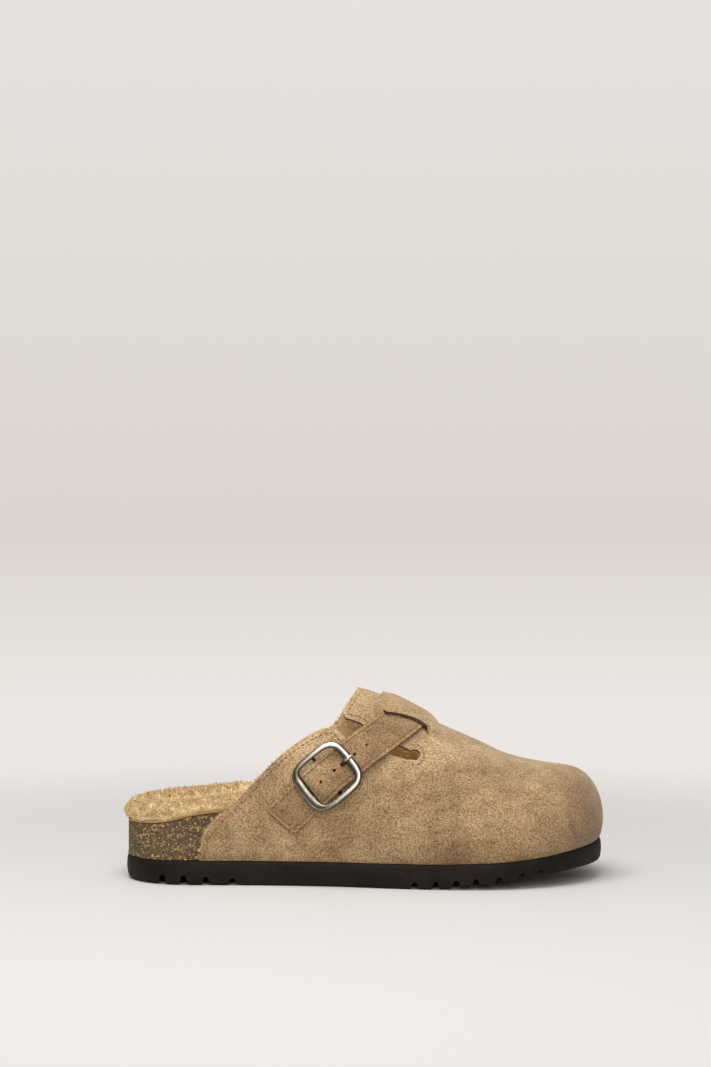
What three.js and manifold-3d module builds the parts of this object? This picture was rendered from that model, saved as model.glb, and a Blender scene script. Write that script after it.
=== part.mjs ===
// Right-foot suede mule with a cork footbed, a fleece lining and one buckled strap.
// Millimetres, +Z up, toe towards +X, the buckled outer side towards -Y.
// The origin lies on the flat tread under the middle of the heel.
import * as THREE from 'three';
import { mergeVertices } from 'three/addons/utils/BufferGeometryUtils.js';
import Module from 'manifold-3d';

const wasm = await Module();
wasm.setup();

// Driving dimensions
const LENGTH = 260.7;
const BALL_WIDTH = 98;
const HEEL_TO_ORIGIN = 27.6;
const OUTSOLE_HEIGHT = 13;
const TOE_SPRING = 9.5;
const INSTEP_HEIGHT = 103.4;
const CORK_HEIGHT = 31;
const FLEECE_PILE = 13;
const FLEECE_HEIGHT = CORK_HEIGHT + FLEECE_PILE;
const UPPER_WALL = 1.8;
const HIDE_THICKNESS = 1.6;
const STRAP_WIDTH = 19.4;
const STRAP_THICKNESS = 1.5;
const FIT = 0.3;
const SNAP = 0.01;

// Outsole details
const EDGE_RADIUS = 2.4;
const EDGE_BEVEL = 6;
const NOTCH_WIDTH = 5;
const NOTCH_HEIGHT = 3.4;
const NOTCH_DEPTH = 11;
const OUTSOLE_FLARE = 0.8;

// Upper details
const UPPER_SETBACK = 1.4;
const UPPER_BULGE = 2.8;
const RIDGE_SHIFT = 4;
const RIDGE = { end: 0.913, fan: 0.633, rear: 0.138 };
const STRAP_COVER_RISE = UPPER_WALL + STRAP_THICKNESS + 5 * FIT;

// Buckle
const BUCKLE_LENGTH = 34;
const BUCKLE_WIDTH = 31.5;
const BUCKLE_CORNER = 9.5;
const BUCKLE_THICKNESS = 2.6;
const BUCKLE_UPPER_BAR = 4;
const BUCKLE_LOWER_BAR = 5.6;
const BUCKLE_SIDE_BAR = 2.9;
const BUCKLE_BOW = 1;
const BUCKLE_TURN = THREE.MathUtils.degToRad(40);
const HINGE_DIAMETER = 1.8;
const HINGE_LIFT = 2.3;
const BUCKLE_RISE = 1.5;
const PRONG_DIAMETER = 1.8;
const LOOP_THICKNESS = 0.8;
const LOOP_WIDTH = 13;

// Plan outline: along is a share of LENGTH, centre and half are shares of BALL_WIDTH.
const PLAN = [
  { along: 0.00, centre: 0.000, half: 0.325 },
  { along: 0.10, centre: 0.000, half: 0.332 },
  { along: 0.17, centre: 0.000, half: 0.337 },
  { along: 0.25, centre: -0.005, half: 0.332 },
  { along: 0.35, centre: -0.025, half: 0.328 },
  { along: 0.45, centre: -0.043, half: 0.344 },
  { along: 0.55, centre: -0.048, half: 0.395 },
  { along: 0.65, centre: -0.030, half: 0.459 },
  { along: 0.74, centre: 0.000, half: 0.497 },
  { along: 0.80, centre: 0.018, half: 0.505 },
  { along: 0.90, centre: 0.042, half: 0.500 },
  { along: 1.00, centre: 0.065, half: 0.490 },
];
const HEEL_ROUND = { start: 0.14, power: 2.15 };
const TOE_ROUND = { start: 0.745, power: 2.35 };

// Side profile of the sole: along is a share of LENGTH, top a share of OUTSOLE_HEIGHT,
// spring a share of TOE_SPRING, edge a share of EDGE_RADIUS lifted at the tread's rim.
const SOLE_SIDE = [
  { along: 0.00, top: 1.000, spring: 0.00, edge: 1.00 },
  { along: 0.13, top: 0.990, spring: 0.00, edge: 0.85 },
  { along: 0.23, top: 0.985, spring: 0.00, edge: 0.30 },
  { along: 0.40, top: 0.985, spring: 0.00, edge: 0.20 },
  { along: 0.60, top: 1.000, spring: 0.00, edge: 0.20 },
  { along: 0.675, top: 1.025, spring: 0.14, edge: 0.20 },
  { along: 0.78, top: 1.095, spring: 0.36, edge: 0.20 },
  { along: 0.865, top: 1.240, spring: 0.70, edge: 0.25 },
  { along: 0.93, top: 1.410, spring: 0.86, edge: 0.40 },
  { along: 1.00, top: 1.600, spring: 0.95, edge: 0.60 },
];
const HEEL_NOTCHES = [0.084, 0.128, 0.174, 0.229];
const BALL_NOTCHES = [0.600, 0.643, 0.684, 0.724, 0.771, 0.819, 0.856];

// Footbed: along is a share of LENGTH, rim and bed are shares of CORK_HEIGHT,
// cover is the share of the upper's wall that the cork leaves room for.
const FOOTBED = [
  { along: 0.00, rim: 1.000, bed: 0.80, cover: 0.0 },
  { along: 0.08, rim: 1.060, bed: 0.78, cover: 0.0 },
  { along: 0.155, rim: 1.190, bed: 0.79, cover: 1.0 },
  { along: 0.24, rim: 1.260, bed: 0.83, cover: 1.0 },
  { along: 0.36, rim: 1.240, bed: 0.88, cover: 1.0 },
  { along: 0.50, rim: 1.100, bed: 0.86, cover: 1.0 },
  { along: 0.65, rim: 0.900, bed: 0.74, cover: 1.0 },
  { along: 0.80, rim: 0.840, bed: 0.72, cover: 1.0 },
  { along: 0.92, rim: 0.960, bed: 0.82, cover: 1.0 },
  { along: 1.00, rim: 1.060, bed: 0.96, cover: 1.0 },
];
const CORK_SETBACK = 0.8;

// Fleece: top and bed are shares of FLEECE_HEIGHT, over is the overhang in millimetres
// as a share of FLEECE_OVERHANG where nothing holds the pile in.
const FLEECE_OVERHANG = 2.5;
const FLEECE = [
  { along: 0.00, top: 0.975, bed: 0.76, over: 1.0 },
  { along: 0.06, top: 1.000, bed: 0.75, over: 0.9 },
  { along: 0.13, top: 1.030, bed: 0.76, over: 0.2 },
  { along: 0.19, top: 1.070, bed: 0.79, over: -1.6 },
  { along: 0.28, top: 1.110, bed: 0.83, over: -1.7 },
  { along: 0.42, top: 1.060, bed: 0.84, over: -1.7 },
  { along: 0.58, top: 0.880, bed: 0.74, over: -1.7 },
  { along: 0.75, top: 0.760, bed: 0.66, over: -1.7 },
  { along: 0.90, top: 0.800, bed: 0.70, over: -1.7 },
  { along: 1.00, top: 0.900, bed: 0.80, over: -1.7 },
];
const LOCK = { radius: 3.4, length: 4.6, rows: 2, rim: 10 };

// Upper: ridge is a share of INSTEP_HEIGHT, full is the power of the section's curve.
const INSTEP = [
  { along: 0.10, ridge: 0.740, full: 2.1 },
  { along: 0.23, ridge: 0.860, full: 2.1 },
  { along: 0.345, ridge: 0.955, full: 2.0 },
  { along: 0.422, ridge: 0.998, full: 1.95 },
  { along: 0.485, ridge: 1.000, full: 1.95 },
  { along: 0.555, ridge: 0.938, full: 2.0 },
  { along: 0.646, ridge: 0.824, full: 2.15 },
  { along: 0.689, ridge: 0.773, full: 2.2 },
  { along: 0.751, ridge: 0.699, full: 2.3 },
  { along: 0.789, ridge: 0.652, full: 2.4 },
  { along: 0.827, ridge: 0.620, full: 2.55 },
  { along: 0.890, ridge: 0.587, full: 2.8 },
  { along: 1.000, ridge: 0.566, full: 3.0 },
];

// Edges seen from the side: along is a share of LENGTH, up a share of INSTEP_HEIGHT.
const OUTER_COLLAR = [
  { along: 0.155, up: 0.06 }, { along: 0.158, up: 0.125 }, { along: 0.168, up: 0.232 },
  { along: 0.179, up: 0.288 }, { along: 0.195, up: 0.336 }, { along: 0.211, up: 0.378 },
  { along: 0.244, up: 0.456 }, { along: 0.279, up: 0.548 }, { along: 0.312, up: 0.633 },
  { along: 0.345, up: 0.702 }, { along: 0.378, up: 0.758 }, { along: 0.408, up: 0.796 },
  { along: 0.430, up: 0.808 }, { along: 0.441, up: 0.799 }, { along: 0.452, up: 0.774 },
  { along: 0.468, up: 0.743 }, { along: 0.510, up: 0.710 }, { along: 0.550, up: 0.677 },
  { along: 0.590, up: 0.647 },
];
const KEYHOLE = { along: 0.6015, up: 0.675, radius: 3.0 };
const TAB_EDGE = [
  { along: 0.590, up: 0.703 }, { along: 0.545, up: 0.752 }, { along: 0.499, up: 0.822 },
  { along: 0.474, up: 0.848 }, { along: 0.460, up: 0.858 }, { along: 0.4545, up: 0.880 },
  { along: 0.460, up: 0.909 }, { along: 0.472, up: 0.953 }, { along: 0.485, up: 1.000 },
  { along: 0.492, up: 1.250 },
];
const INNER_COLLAR = [
  { along: 0.155, up: 0.06 }, { along: 0.159, up: 0.125 }, { along: 0.172, up: 0.225 },
  { along: 0.192, up: 0.305 }, { along: 0.225, up: 0.385 }, { along: 0.276, up: 0.480 },
  { along: 0.330, up: 0.585 }, { along: 0.378, up: 0.677 }, { along: 0.418, up: 0.755 },
  { along: 0.447, up: 0.820 }, { along: 0.468, up: 0.900 }, { along: 0.485, up: 1.000 },
  { along: 0.492, up: 1.250 },
];

// Strap in side view: it starts at its free end and climbs to the slot in the upper.
const STRAP_END = { along: 0.327, up: 0.331 };
const STRAP_CLIMB = THREE.MathUtils.degToRad(38.7);
const STRAP_REACH = 0.329;
const STRAP_SKEW = { end: 0.2, lip: 0.64 };
const STRAP_BOW = 2;
const STRAP_TUCK = 0.84;
// Lift of the strap off the upper: along is a share of the strap's reach, lift a share of
// the height at which it crosses the hinge bar of the buckle.
const STRAP_CROSSING = HINGE_LIFT + HINGE_DIAMETER / 2 + LOOP_THICKNESS + 2 * FIT;
const STRAP_LIFT = [
  { along: 0.00, lift: 0.11 },
  { along: 0.10, lift: 0.18 },
  { along: 0.18, lift: 0.36 },
  { along: 0.25, lift: 0.48 },
  { along: 0.32, lift: 0.97 },
  { along: 0.407, lift: 1.12 },
  { along: 0.46, lift: 0.94 },
  { along: 0.52, lift: 0.58 },
  { along: 0.60, lift: 0.56 },
  { along: 0.70, lift: 0.50 },
  { along: 0.82, lift: 0.28 },
  { along: 0.93, lift: 0.13 },
  { along: 1.00, lift: 0.12 },
];
const BUCKLE_ALONG = 0.407;
const HOLES = [0.356, 0.464, 0.62, 0.71];
const HOLE_DIAMETER = 1.8;
const PRONG_HOLE = { along: 0.523, length: 7.5, width: 2.8 };

// Curves through the rows of a table
function column(rows, name) {
  return (share) => {
    let i = rows.findIndex((row) => row.along > share) - 1;
    if (i < 0) i = share < rows[0].along ? 0 : rows.length - 2;
    const slope = (k) => {
      const a = rows[Math.max(0, k - 1)], b = rows[Math.min(rows.length - 1, k + 1)];
      return (b[name] - a[name]) / (b.along - a.along);
    };
    const [p, q] = [rows[i], rows[i + 1]];
    const span = q.along - p.along;
    const t = Math.min(1, Math.max(0, (share - p.along) / span));
    const rise = 3 * t * t - 2 * t * t * t;
    return p[name] * (1 - rise) + q[name] * rise
      + span * t * (1 - t) * ((1 - t) * slope(i) - t * slope(i + 1));
  };
}

const planCentre = column(PLAN, 'centre');
const planHalf = column(PLAN, 'half');
const soleTop = column(SOLE_SIDE, 'top');
const soleSpring = column(SOLE_SIDE, 'spring');
const soleEdge = column(SOLE_SIDE, 'edge');
const rimCurve = column(FOOTBED, 'rim');
const bedCurve = column(FOOTBED, 'bed');
const coverCurve = column(FOOTBED, 'cover');
const fleeceTop = column(FLEECE, 'top');
const fleeceBed = column(FLEECE, 'bed');
const fleeceOver = column(FLEECE, 'over');
const ridgeCurve = column(INSTEP, 'ridge');
const fullCurve = column(INSTEP, 'full');

const toX = (share) => share * LENGTH - HEEL_TO_ORIGIN;
const toShare = (x) => (x + HEEL_TO_ORIGIN) / LENGTH;

function halfWidth(share) {
  const heel = Math.max(0, (HEEL_ROUND.start - share) / HEEL_ROUND.start);
  const toe = Math.max(0, (share - TOE_ROUND.start) / (1 - TOE_ROUND.start));
  const ends = (1 - heel ** HEEL_ROUND.power) * (1 - toe ** TOE_ROUND.power);
  return BALL_WIDTH * planHalf(share) * Math.sqrt(Math.max(0, ends));
}

// A point of the plan outline, inset along its normal. The angle runs 0 at the heel,
// PI at the toe by the outer side, and on to 2 PI by the inner side.
function outline(angle, inset = 0) {
  const at = (a) => {
    const share = (1 - Math.cos(a)) / 2;
    const side = a <= Math.PI ? -1 : 1;
    return [toX(share), BALL_WIDTH * planCentre(share) + side * halfWidth(share)];
  };
  const step = 0.004;
  const [x, y] = at(angle);
  const before = at(Math.max(0, angle - step));
  const after = at(Math.min(2 * Math.PI, angle + step));
  let [dx, dy] = [after[0] - before[0], after[1] - before[1]];
  if (angle < step || angle > 2 * Math.PI - step) [dx, dy] = [0, -1];
  const length = Math.hypot(dx, dy);
  return [x - dy / length * inset, y + dx / length * inset];
}

const shareOf = (angle) => (1 - Math.cos(angle)) / 2;
const angleOf = (share) => Math.acos(Math.max(-1, Math.min(1, 1 - 2 * share)));

// Ring angles round the plan, mirrored so that point i faces point 2n - i.
function ringAngles(n) {
  return Array.from({ length: 2 * n }, (_, i) => Math.PI * i / n);
}

// Mesh helpers
function geometryOf(points, faces) {
  const geometry = new THREE.BufferGeometry();
  geometry.setAttribute('position', new THREE.Float32BufferAttribute(points.flat(), 3));
  geometry.setIndex(faces.flat());
  return geometry;
}

// Closed solid from stacked rings; both ends are closed by strips across the ring.
// The first rings may take the other diagonal, to lie on a layer that was stacked down.
function stack(rings, turned = 0) {
  const n = rings[0].length;
  const faces = [];
  for (let r = 0; r + 1 < rings.length; r += 1) {
    for (let i = 0; i < n; i += 1) {
      const j = (i + 1) % n;
      const [a, b] = [r * n + i, r * n + j];
      if (r < turned) faces.push([a, b, a + n], [b, b + n, a + n]);
      else faces.push([a, b, b + n], [a, b + n, a + n]);
    }
  }
  const top = (rings.length - 1) * n;
  for (let i = 0; i < n / 2; i += 1) {
    const [a, b] = [i, i + 1];
    const [c, d] = [(n - i) % n, n - i - 1];
    const quads = [[a, d, b], [a, c, d]];
    for (const [p, q, s] of quads) {
      if (p === q || q === s || p === s) continue;
      faces.push([p, q, s]);
      faces.push([top + p, top + s, top + q]);
    }
  }
  return geometryOf(rings.flat(), faces);
}

function solid(geometry, tolerance = 1e-4) {
  const bare = new THREE.BufferGeometry();
  bare.setAttribute('position', geometry.getAttribute('position').clone());
  if (geometry.index) bare.setIndex(geometry.index.clone());
  const merged = mergeVertices(bare, tolerance);
  return new wasm.Manifold(new wasm.Mesh({
    numProp: 3,
    vertProperties: new Float32Array(merged.getAttribute('position').array),
    triVerts: new Uint32Array(merged.index.array),
  }));
}

function geometryFrom(manifold) {
  const mesh = manifold.getMesh();
  const geometry = new THREE.BufferGeometry();
  geometry.setAttribute('position', new THREE.BufferAttribute(mesh.vertProperties, 3));
  geometry.setIndex(new THREE.BufferAttribute(mesh.triVerts, 1));
  return geometry;
}

// The largest body of a cut form, with its vertices snapped to a fine grid
function tidyBody(manifold) {
  const geometry = geometryFrom(manifold);
  const position = geometry.getAttribute('position');
  for (let i = 0; i < position.array.length; i += 1) {
    position.array[i] = Math.round(position.array[i] / SNAP) * SNAP;
  }
  const bodies = solid(geometry, SNAP / 4).decompose();
  return geometryFrom(bodies.sort((a, b) => b.volume() - a.volume())[0]);
}

// Prism across the shoe: a side-view outline of [x, z] points between two y values.
function prism(outlinePoints, yLow, yHigh) {
  const shape = new THREE.Shape(outlinePoints.map(([x, z]) => new THREE.Vector2(x, z)));
  const geometry = new THREE.ExtrudeGeometry(shape, { depth: yHigh - yLow, bevelEnabled: false });
  geometry.rotateX(Math.PI / 2);
  geometry.translate(0, yHigh, 0);
  return solid(geometry);
}

const sidePoint = ({ along, up }) => [toX(along), up * INSTEP_HEIGHT];
const CLEAR = BALL_WIDTH;

// Outsole
function treadHeight(share) {
  return TOE_SPRING * soleSpring(share);
}

function soleTopHeight(share) {
  return OUTSOLE_HEIGHT * soleTop(share);
}

function buildOutsole() {
  const angles = ringAngles(36);
  const ring = (inset, height) => angles.map((angle) => {
    const share = shareOf(angle);
    return [...outline(angle, inset), height(share)];
  });
  const edge = (share) => EDGE_RADIUS * soleEdge(share);
  const body = stack([
    ring(EDGE_BEVEL, treadHeight),
    ring(EDGE_BEVEL / 3, (share) => treadHeight(share) + edge(share) / 4),
    ring(OUTSOLE_FLARE / 2, (share) => treadHeight(share) + edge(share) + 1),
    ring(0, (share) => (treadHeight(share) + soleTopHeight(share)) / 2 + 1),
    ring(OUTSOLE_FLARE, soleTopHeight),
  ]);
  let sole = solid(body);
  for (const share of [...HEEL_NOTCHES, ...BALL_NOTCHES]) {
    const [x, z] = [toX(share), treadHeight(share)];
    const top = z + EDGE_RADIUS * soleEdge(share) + NOTCH_HEIGHT;
    const [w, crown] = [NOTCH_WIDTH / 2, NOTCH_WIDTH / 5];
    const profile = [
      [x - w, z - NOTCH_HEIGHT], [x + w, z - NOTCH_HEIGHT], [x + w, z],
      [x + crown * 1.4, top - crown], [x, top], [x - crown * 1.4, top - crown], [x - w, z],
    ];
    const reach = halfWidth(share) - NOTCH_DEPTH;
    const middle = BALL_WIDTH * planCentre(share);
    sole = sole.subtract(prism(profile, middle - CLEAR, middle - reach));
    sole = sole.subtract(prism(profile, middle + reach, middle + CLEAR));
  }
  return geometryFrom(sole);
}

// Footbed of cork and the hide laid over it
const corkInset = (share) => {
  const cover = Math.min(1, Math.max(0, coverCurve(share)));
  return CORK_SETBACK + cover * (UPPER_SETBACK + UPPER_WALL + 1.8 * FIT - CORK_SETBACK);
};
const RIM_WIDTH = 4;
const BED_REACH = 15;

function layer(angles, inset, height) {
  return angles.map((angle) => {
    const share = shareOf(angle);
    return [...outline(angle, inset(share)), height(share)];
  });
}

function buildCork() {
  const angles = ringAngles(36);
  const rim = (share) => CORK_HEIGHT * rimCurve(share);
  const bed = (share) => CORK_HEIGHT * bedCurve(share);
  return stack([
    layer(angles, (s) => corkInset(s), (s) => soleTopHeight(s) + FIT),
    layer(angles, (s) => corkInset(s), (s) => (soleTopHeight(s) + rim(s)) / 2),
    layer(angles, (s) => corkInset(s), rim),
    layer(angles, (s) => corkInset(s) + RIM_WIDTH, rim),
    layer(angles, (s) => corkInset(s) + BED_REACH, bed),
  ]);
}

function buildHide() {
  const angles = ringAngles(36);
  const low = (s) => CORK_HEIGHT * rimCurve(s) + FIT;
  const bed = (s) => CORK_HEIGHT * bedCurve(s) + FIT;
  return stack([
    layer(angles, (s) => corkInset(s) + BED_REACH, bed),
    layer(angles, (s) => corkInset(s) + RIM_WIDTH, low),
    layer(angles, (s) => corkInset(s), low),
    layer(angles, (s) => corkInset(s), (s) => low(s) + HIDE_THICKNESS),
    layer(angles, (s) => corkInset(s) + RIM_WIDTH, (s) => low(s) + HIDE_THICKNESS),
    layer(angles, (s) => corkInset(s) + BED_REACH, (s) => bed(s) + HIDE_THICKNESS),
  ], 2);
}

// Fleece insole: a pile with a rounded rim and locks fused on round the open heel
const fleeceInset = (share) => -FLEECE_OVERHANG * fleeceOver(share);
const PILE_ROUND = 4;

function lock(x, y, z, lean, size) {
  const shape = new THREE.IcosahedronGeometry(1, 0);
  shape.scale(LOCK.radius * size, LOCK.radius * size, LOCK.length * size);
  shape.rotateX(lean * 0.7);
  shape.rotateY(lean);
  shape.translate(x, y, z);
  return solid(shape);
}

function buildFleece() {
  const angles = ringAngles(36);
  const base = (s) => CORK_HEIGHT * rimCurve(s) + HIDE_THICKNESS + 2 * FIT;
  const bedBase = (s) => CORK_HEIGHT * bedCurve(s) + HIDE_THICKNESS + 2 * FIT;
  const top = (s) => FLEECE_HEIGHT * fleeceTop(s);
  let fleece = solid(stack([
    layer(angles, (s) => corkInset(s) + BED_REACH, bedBase),
    layer(angles, (s) => corkInset(s) + RIM_WIDTH, base),
    layer(angles, (s) => Math.max(fleeceInset(s), corkInset(s) + 0.5), base),
    layer(angles, (s) => fleeceInset(s), (s) => base(s) + (top(s) - base(s)) * 0.3),
    layer(angles, (s) => fleeceInset(s) + PILE_ROUND * 0.4, (s) => top(s) - PILE_ROUND * 0.5),
    layer(angles, (s) => fleeceInset(s) + PILE_ROUND * 1.6, top),
    layer(angles, (s) => fleeceInset(s) + PILE_ROUND * 3, (s) => top(s) - PILE_ROUND * 0.6),
    layer(angles, (s) => corkInset(s) + BED_REACH + 2, (s) => FLEECE_HEIGHT * fleeceBed(s)),
  ], 2));
  for (let row = 0; row < LOCK.rows; row += 1) {
    for (let i = -LOCK.rim + (row % 2) * 0.5; i <= LOCK.rim; i += 1) {
      const angle = i / LOCK.rim * angleOf(0.19);
      const share = shareOf(angle);
      const turn = angle < 0 ? angle + 2 * Math.PI : angle;
      const jitter = Math.sin(i * 12.9 + row * 7.3);
      const inset = fleeceInset(share) + [2.4, 8][row] + jitter * 0.5;
      const height = [0.55, 0.85][row];
      const z = base(share) + (top(share) - base(share)) * height;
      const [x, y] = outline(turn, inset);
      fleece = fleece.add(lock(x, y, z + 0.8 * jitter, jitter * 0.6, 0.9 + 0.15 * jitter));
    }
  }
  return geometryFrom(fleece);
}

// Upper: a section at each station, lofted from the feather line to the instep ridge
const featherHeight = (share) => soleTopHeight(share) + FIT;

function ridgeShare(share) {
  const fan = Math.max(0, (share - RIDGE.fan) / (1 - RIDGE.fan));
  return share - (1 - RIDGE.end) * fan ** 2;
}

// A point of the upper's surface. The climb runs from 0 at the feather line to 1 at the
// ridge; depth is the distance inwards from the outer face.
function upperPoint(angle, climb, depth = 0) {
  const share = shareOf(angle);
  const top = ridgeShare(share);
  const power = fullCurve(top);
  const [fx, fy] = outline(angle, UPPER_SETBACK + depth);
  const [ox, oy] = outline(angle, UPPER_SETBACK + depth - 1);
  const low = featherHeight(share);
  const ridge = INSTEP_HEIGHT * ridgeCurve(top) - depth;
  const lift = Math.sin(climb * Math.PI / 2) ** (2 / power);
  const shrink = Math.cos(climb * Math.PI / 2) ** (2 / power);
  const bulge = UPPER_BULGE * Math.sin(Math.PI * lift ** 0.7);
  const rx = toX(top) - depth * Math.max(0, (share - RIDGE.fan) / (1 - RIDGE.fan));
  const ry = BALL_WIDTH * planCentre(top) * (1 - lift * 0.6) + RIDGE_SHIFT * lift;
  return [
    rx + (fx - rx) * shrink + (ox - fx) * bulge,
    ry + (fy - ry) * shrink + (oy - fy) * bulge,
    low + (ridge - low) * lift,
  ];
}

// The upper covers the strap with a soft band that crosses the instep and fades out
// down the inner side. Its places are shares of LENGTH.
const COVER = { along: 0.604, half: 0.068, soft: 0.014, drift: 0.085, outer: 0.56, inner: 0.4 };
const COVER_SINK = 0.5;
const COVER_REGION = { from: 0.46, to: 0.8, ahead: 0.1 };

function coverRise(angle, climb) {
  const outer = angle <= Math.PI;
  const shift = (outer ? -1 : 1) * COVER.drift * (1 - climb);
  const off = Math.abs(shareOf(angle) - COVER.along - shift);
  const side = THREE.MathUtils.smoothstep((COVER.half - off) / COVER.soft, 0, 1);
  const low = outer ? COVER.outer : COVER.inner;
  const fade = THREE.MathUtils.smoothstep(climb, low, low + 0.14);
  return (STRAP_COVER_RISE + COVER_SINK) * side * fade - COVER_SINK;
}

function upperForm({ depth, stations, climbs, covered, skirt = 0, rear = RIDGE.rear }) {
  const shares = [];
  for (let i = 0; i < stations; i += 1) {
    shares.push(rear + (0.9 - rear) * i / stations);
  }
  const tip = Math.round(stations / 6);
  for (let i = 0; i <= tip; i += 1) {
    const a = angleOf(0.9) + (Math.PI - angleOf(0.9)) * i / tip;
    shares.push(shareOf(a));
  }
  const outer = shares.map((s, i) => (i === shares.length - 1 ? Math.PI : angleOf(s)));
  const inner = outer.slice(0, -1).reverse().map((a) => 2 * Math.PI - a);
  const columns = [...outer, ...inner];
  const rows = climbs + 1 + (skirt > 0 ? 1 : 0);
  const points = columns.flatMap((angle) => {
    const line = [];
    if (skirt > 0) {
      const [x, y, z] = upperPoint(angle, 0, depth);
      line.push([x, y, z - skirt]);
    }
    for (let k = 0; k <= climbs; k += 1) {
      const climb = k / climbs;
      const [x, y, z] = upperPoint(angle, climb, depth);
      const rise = covered ? coverRise(angle, climb) : 0;
      const up = Math.sin(climb * Math.PI / 2);
      const side = (angle <= Math.PI ? -1 : 1) * Math.cos(climb * Math.PI / 2);
      line.push([x, y + side * rise, z + up * rise]);
    }
    return line;
  });
  const faces = [];
  const id = (c, r) => c * rows + r;
  for (let c = 0; c + 1 < columns.length; c += 1) {
    for (let r = 0; r + 1 < rows; r += 1) {
      faces.push([id(c, r), id(c + 1, r), id(c + 1, r + 1)]);
      faces.push([id(c, r), id(c + 1, r + 1), id(c, r + 1)]);
    }
  }
  const last = columns.length - 1;
  for (let c = 0; c < last - c; c += 1) {
    const [a, b, d, e] = [id(c, 0), id(c + 1, 0), id(last - c, 0), id(last - c - 1, 0)];
    if (c + 1 <= last - c - 1) faces.push([a, d, e]);
    if (c + 1 < last - c - 1) faces.push([a, e, b]);
  }
  for (let r = 0; r + 1 < rows; r += 1) {
    faces.push([id(0, r), id(0, r + 1), id(last, r + 1)]);
    faces.push([id(0, r), id(last, r + 1), id(last, r)]);
  }
  const form = geometryOf(points, faces);
  return solid(form);
}

// Side-view region above the lip of the slot, where the upper rises over the strap.
// The cavity's own region starts a little before the lip.
function lipRegion(before = 0) {
  const lip = (reach, across) => strapAxis(reach - before / (STRAP_REACH * LENGTH), across);
  const left = lip(1, -0.6);
  const right = lip(1, 0.6);
  const up = 2 * INSTEP_HEIGHT;
  const ahead = COVER_REGION.ahead * LENGTH;
  return [[left[0] - 1, up], [left[0] - 1, left[1] + 1], left, lip(1.02, -0.3),
    lip(1.035, 0), lip(1.02, 0.3), right, [right[0] + 1, right[1] - 4],
    [right[0] + ahead, right[1] - ahead], [right[0] + ahead, up]];
}

function buildUpper() {
  const middle = RIDGE_SHIFT / 2;
  const base = upperForm({ depth: 0, stations: 34, climbs: 8 });
  const raised = upperForm({ depth: 0, stations: 42, climbs: 9, covered: true });
  const hollow = { depth: UPPER_WALL, skirt: 4, rear: RIDGE.rear - 0.01 };
  const cavity = upperForm({ ...hollow, stations: 26, climbs: 8 });
  const tunnel = upperForm({ ...hollow, stations: 42, climbs: 9, covered: true });
  const [from, to] = [toX(COVER_REGION.from), toX(COVER_REGION.to)];
  const innerHalf = prism([
    [from, 0], [to, 0], [to, 2 * INSTEP_HEIGHT], [from, 2 * INSTEP_HEIGHT],
  ], middle - 1, CLEAR);
  const above = prism(lipRegion(), -CLEAR, middle).add(innerHalf);
  const within = prism(lipRegion(2 * FIT), -CLEAR, middle).add(innerHalf);
  let upper = base.add(raised.intersect(above));
  upper = upper.subtract(cavity.add(tunnel.intersect(within)));
  const behind = [[toX(-0.1), 2 * INSTEP_HEIGHT], [toX(-0.1), 0]];
  const outerCut = [...behind, [toX(OUTER_COLLAR[0].along), 0],
    ...OUTER_COLLAR.map(sidePoint), ...TAB_EDGE.map(sidePoint),
    [toX(0.492), 2 * INSTEP_HEIGHT]];
  const innerCut = [...behind, [toX(INNER_COLLAR[0].along), 0],
    ...INNER_COLLAR.map(sidePoint), [toX(0.492), 2 * INSTEP_HEIGHT]];
  const [keyX, keyZ] = sidePoint(KEYHOLE);
  const round = Array.from({ length: 14 }, (_, i) => {
    const a = 2 * Math.PI * i / 14;
    return [keyX + KEYHOLE.radius * Math.cos(a), keyZ + KEYHOLE.radius * Math.sin(a)];
  });
  upper = upper.subtract(prism(outerCut, -CLEAR, middle));
  upper = upper.subtract(prism(innerCut, middle - 0.5, CLEAR));
  upper = upper.subtract(prism(round, -CLEAR, middle));
  return tidyBody(upper);
}

// Strap
function strapAxis(reach, across) {
  const [x0, z0] = sidePoint(STRAP_END);
  const [c, s] = [Math.cos(STRAP_CLIMB), Math.sin(STRAP_CLIMB)];
  const skew = STRAP_SKEW.end + (STRAP_SKEW.lip - STRAP_SKEW.end) * reach;
  const run = reach * STRAP_REACH * LENGTH + across * STRAP_WIDTH * skew;
  const aside = STRAP_BOW * Math.sin(Math.PI * Math.min(1, reach)) - across * STRAP_WIDTH;
  return [x0 + run * c - aside * s, z0 + run * s + aside * c];
}

// Climb of the upper's outer side at a place of the side view
function climbAt(x, z) {
  const angle = angleOf(toShare(x));
  let [low, high] = [0, 1];
  for (let i = 0; i < 30; i += 1) {
    const mid = (low + high) / 2;
    if (upperPoint(angle, mid)[2] < z) low = mid;
    else high = mid;
  }
  return (low + high) / 2;
}

function surfaceFrame(angle, climb) {
  const at = (a, c) => new THREE.Vector3(...upperPoint(a, c));
  const point = at(angle, climb);
  const ahead = at(angle + 0.01, climb).sub(at(angle - 0.01, climb));
  const above = at(angle, climb + 0.01).sub(at(angle, climb - 0.01));
  return { point, normal: ahead.cross(above).normalize() };
}

function sideSurface([x, z]) {
  return surfaceFrame(angleOf(toShare(x)), climbAt(x, z));
}

const strapLift = column(STRAP_LIFT, 'lift');

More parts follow.
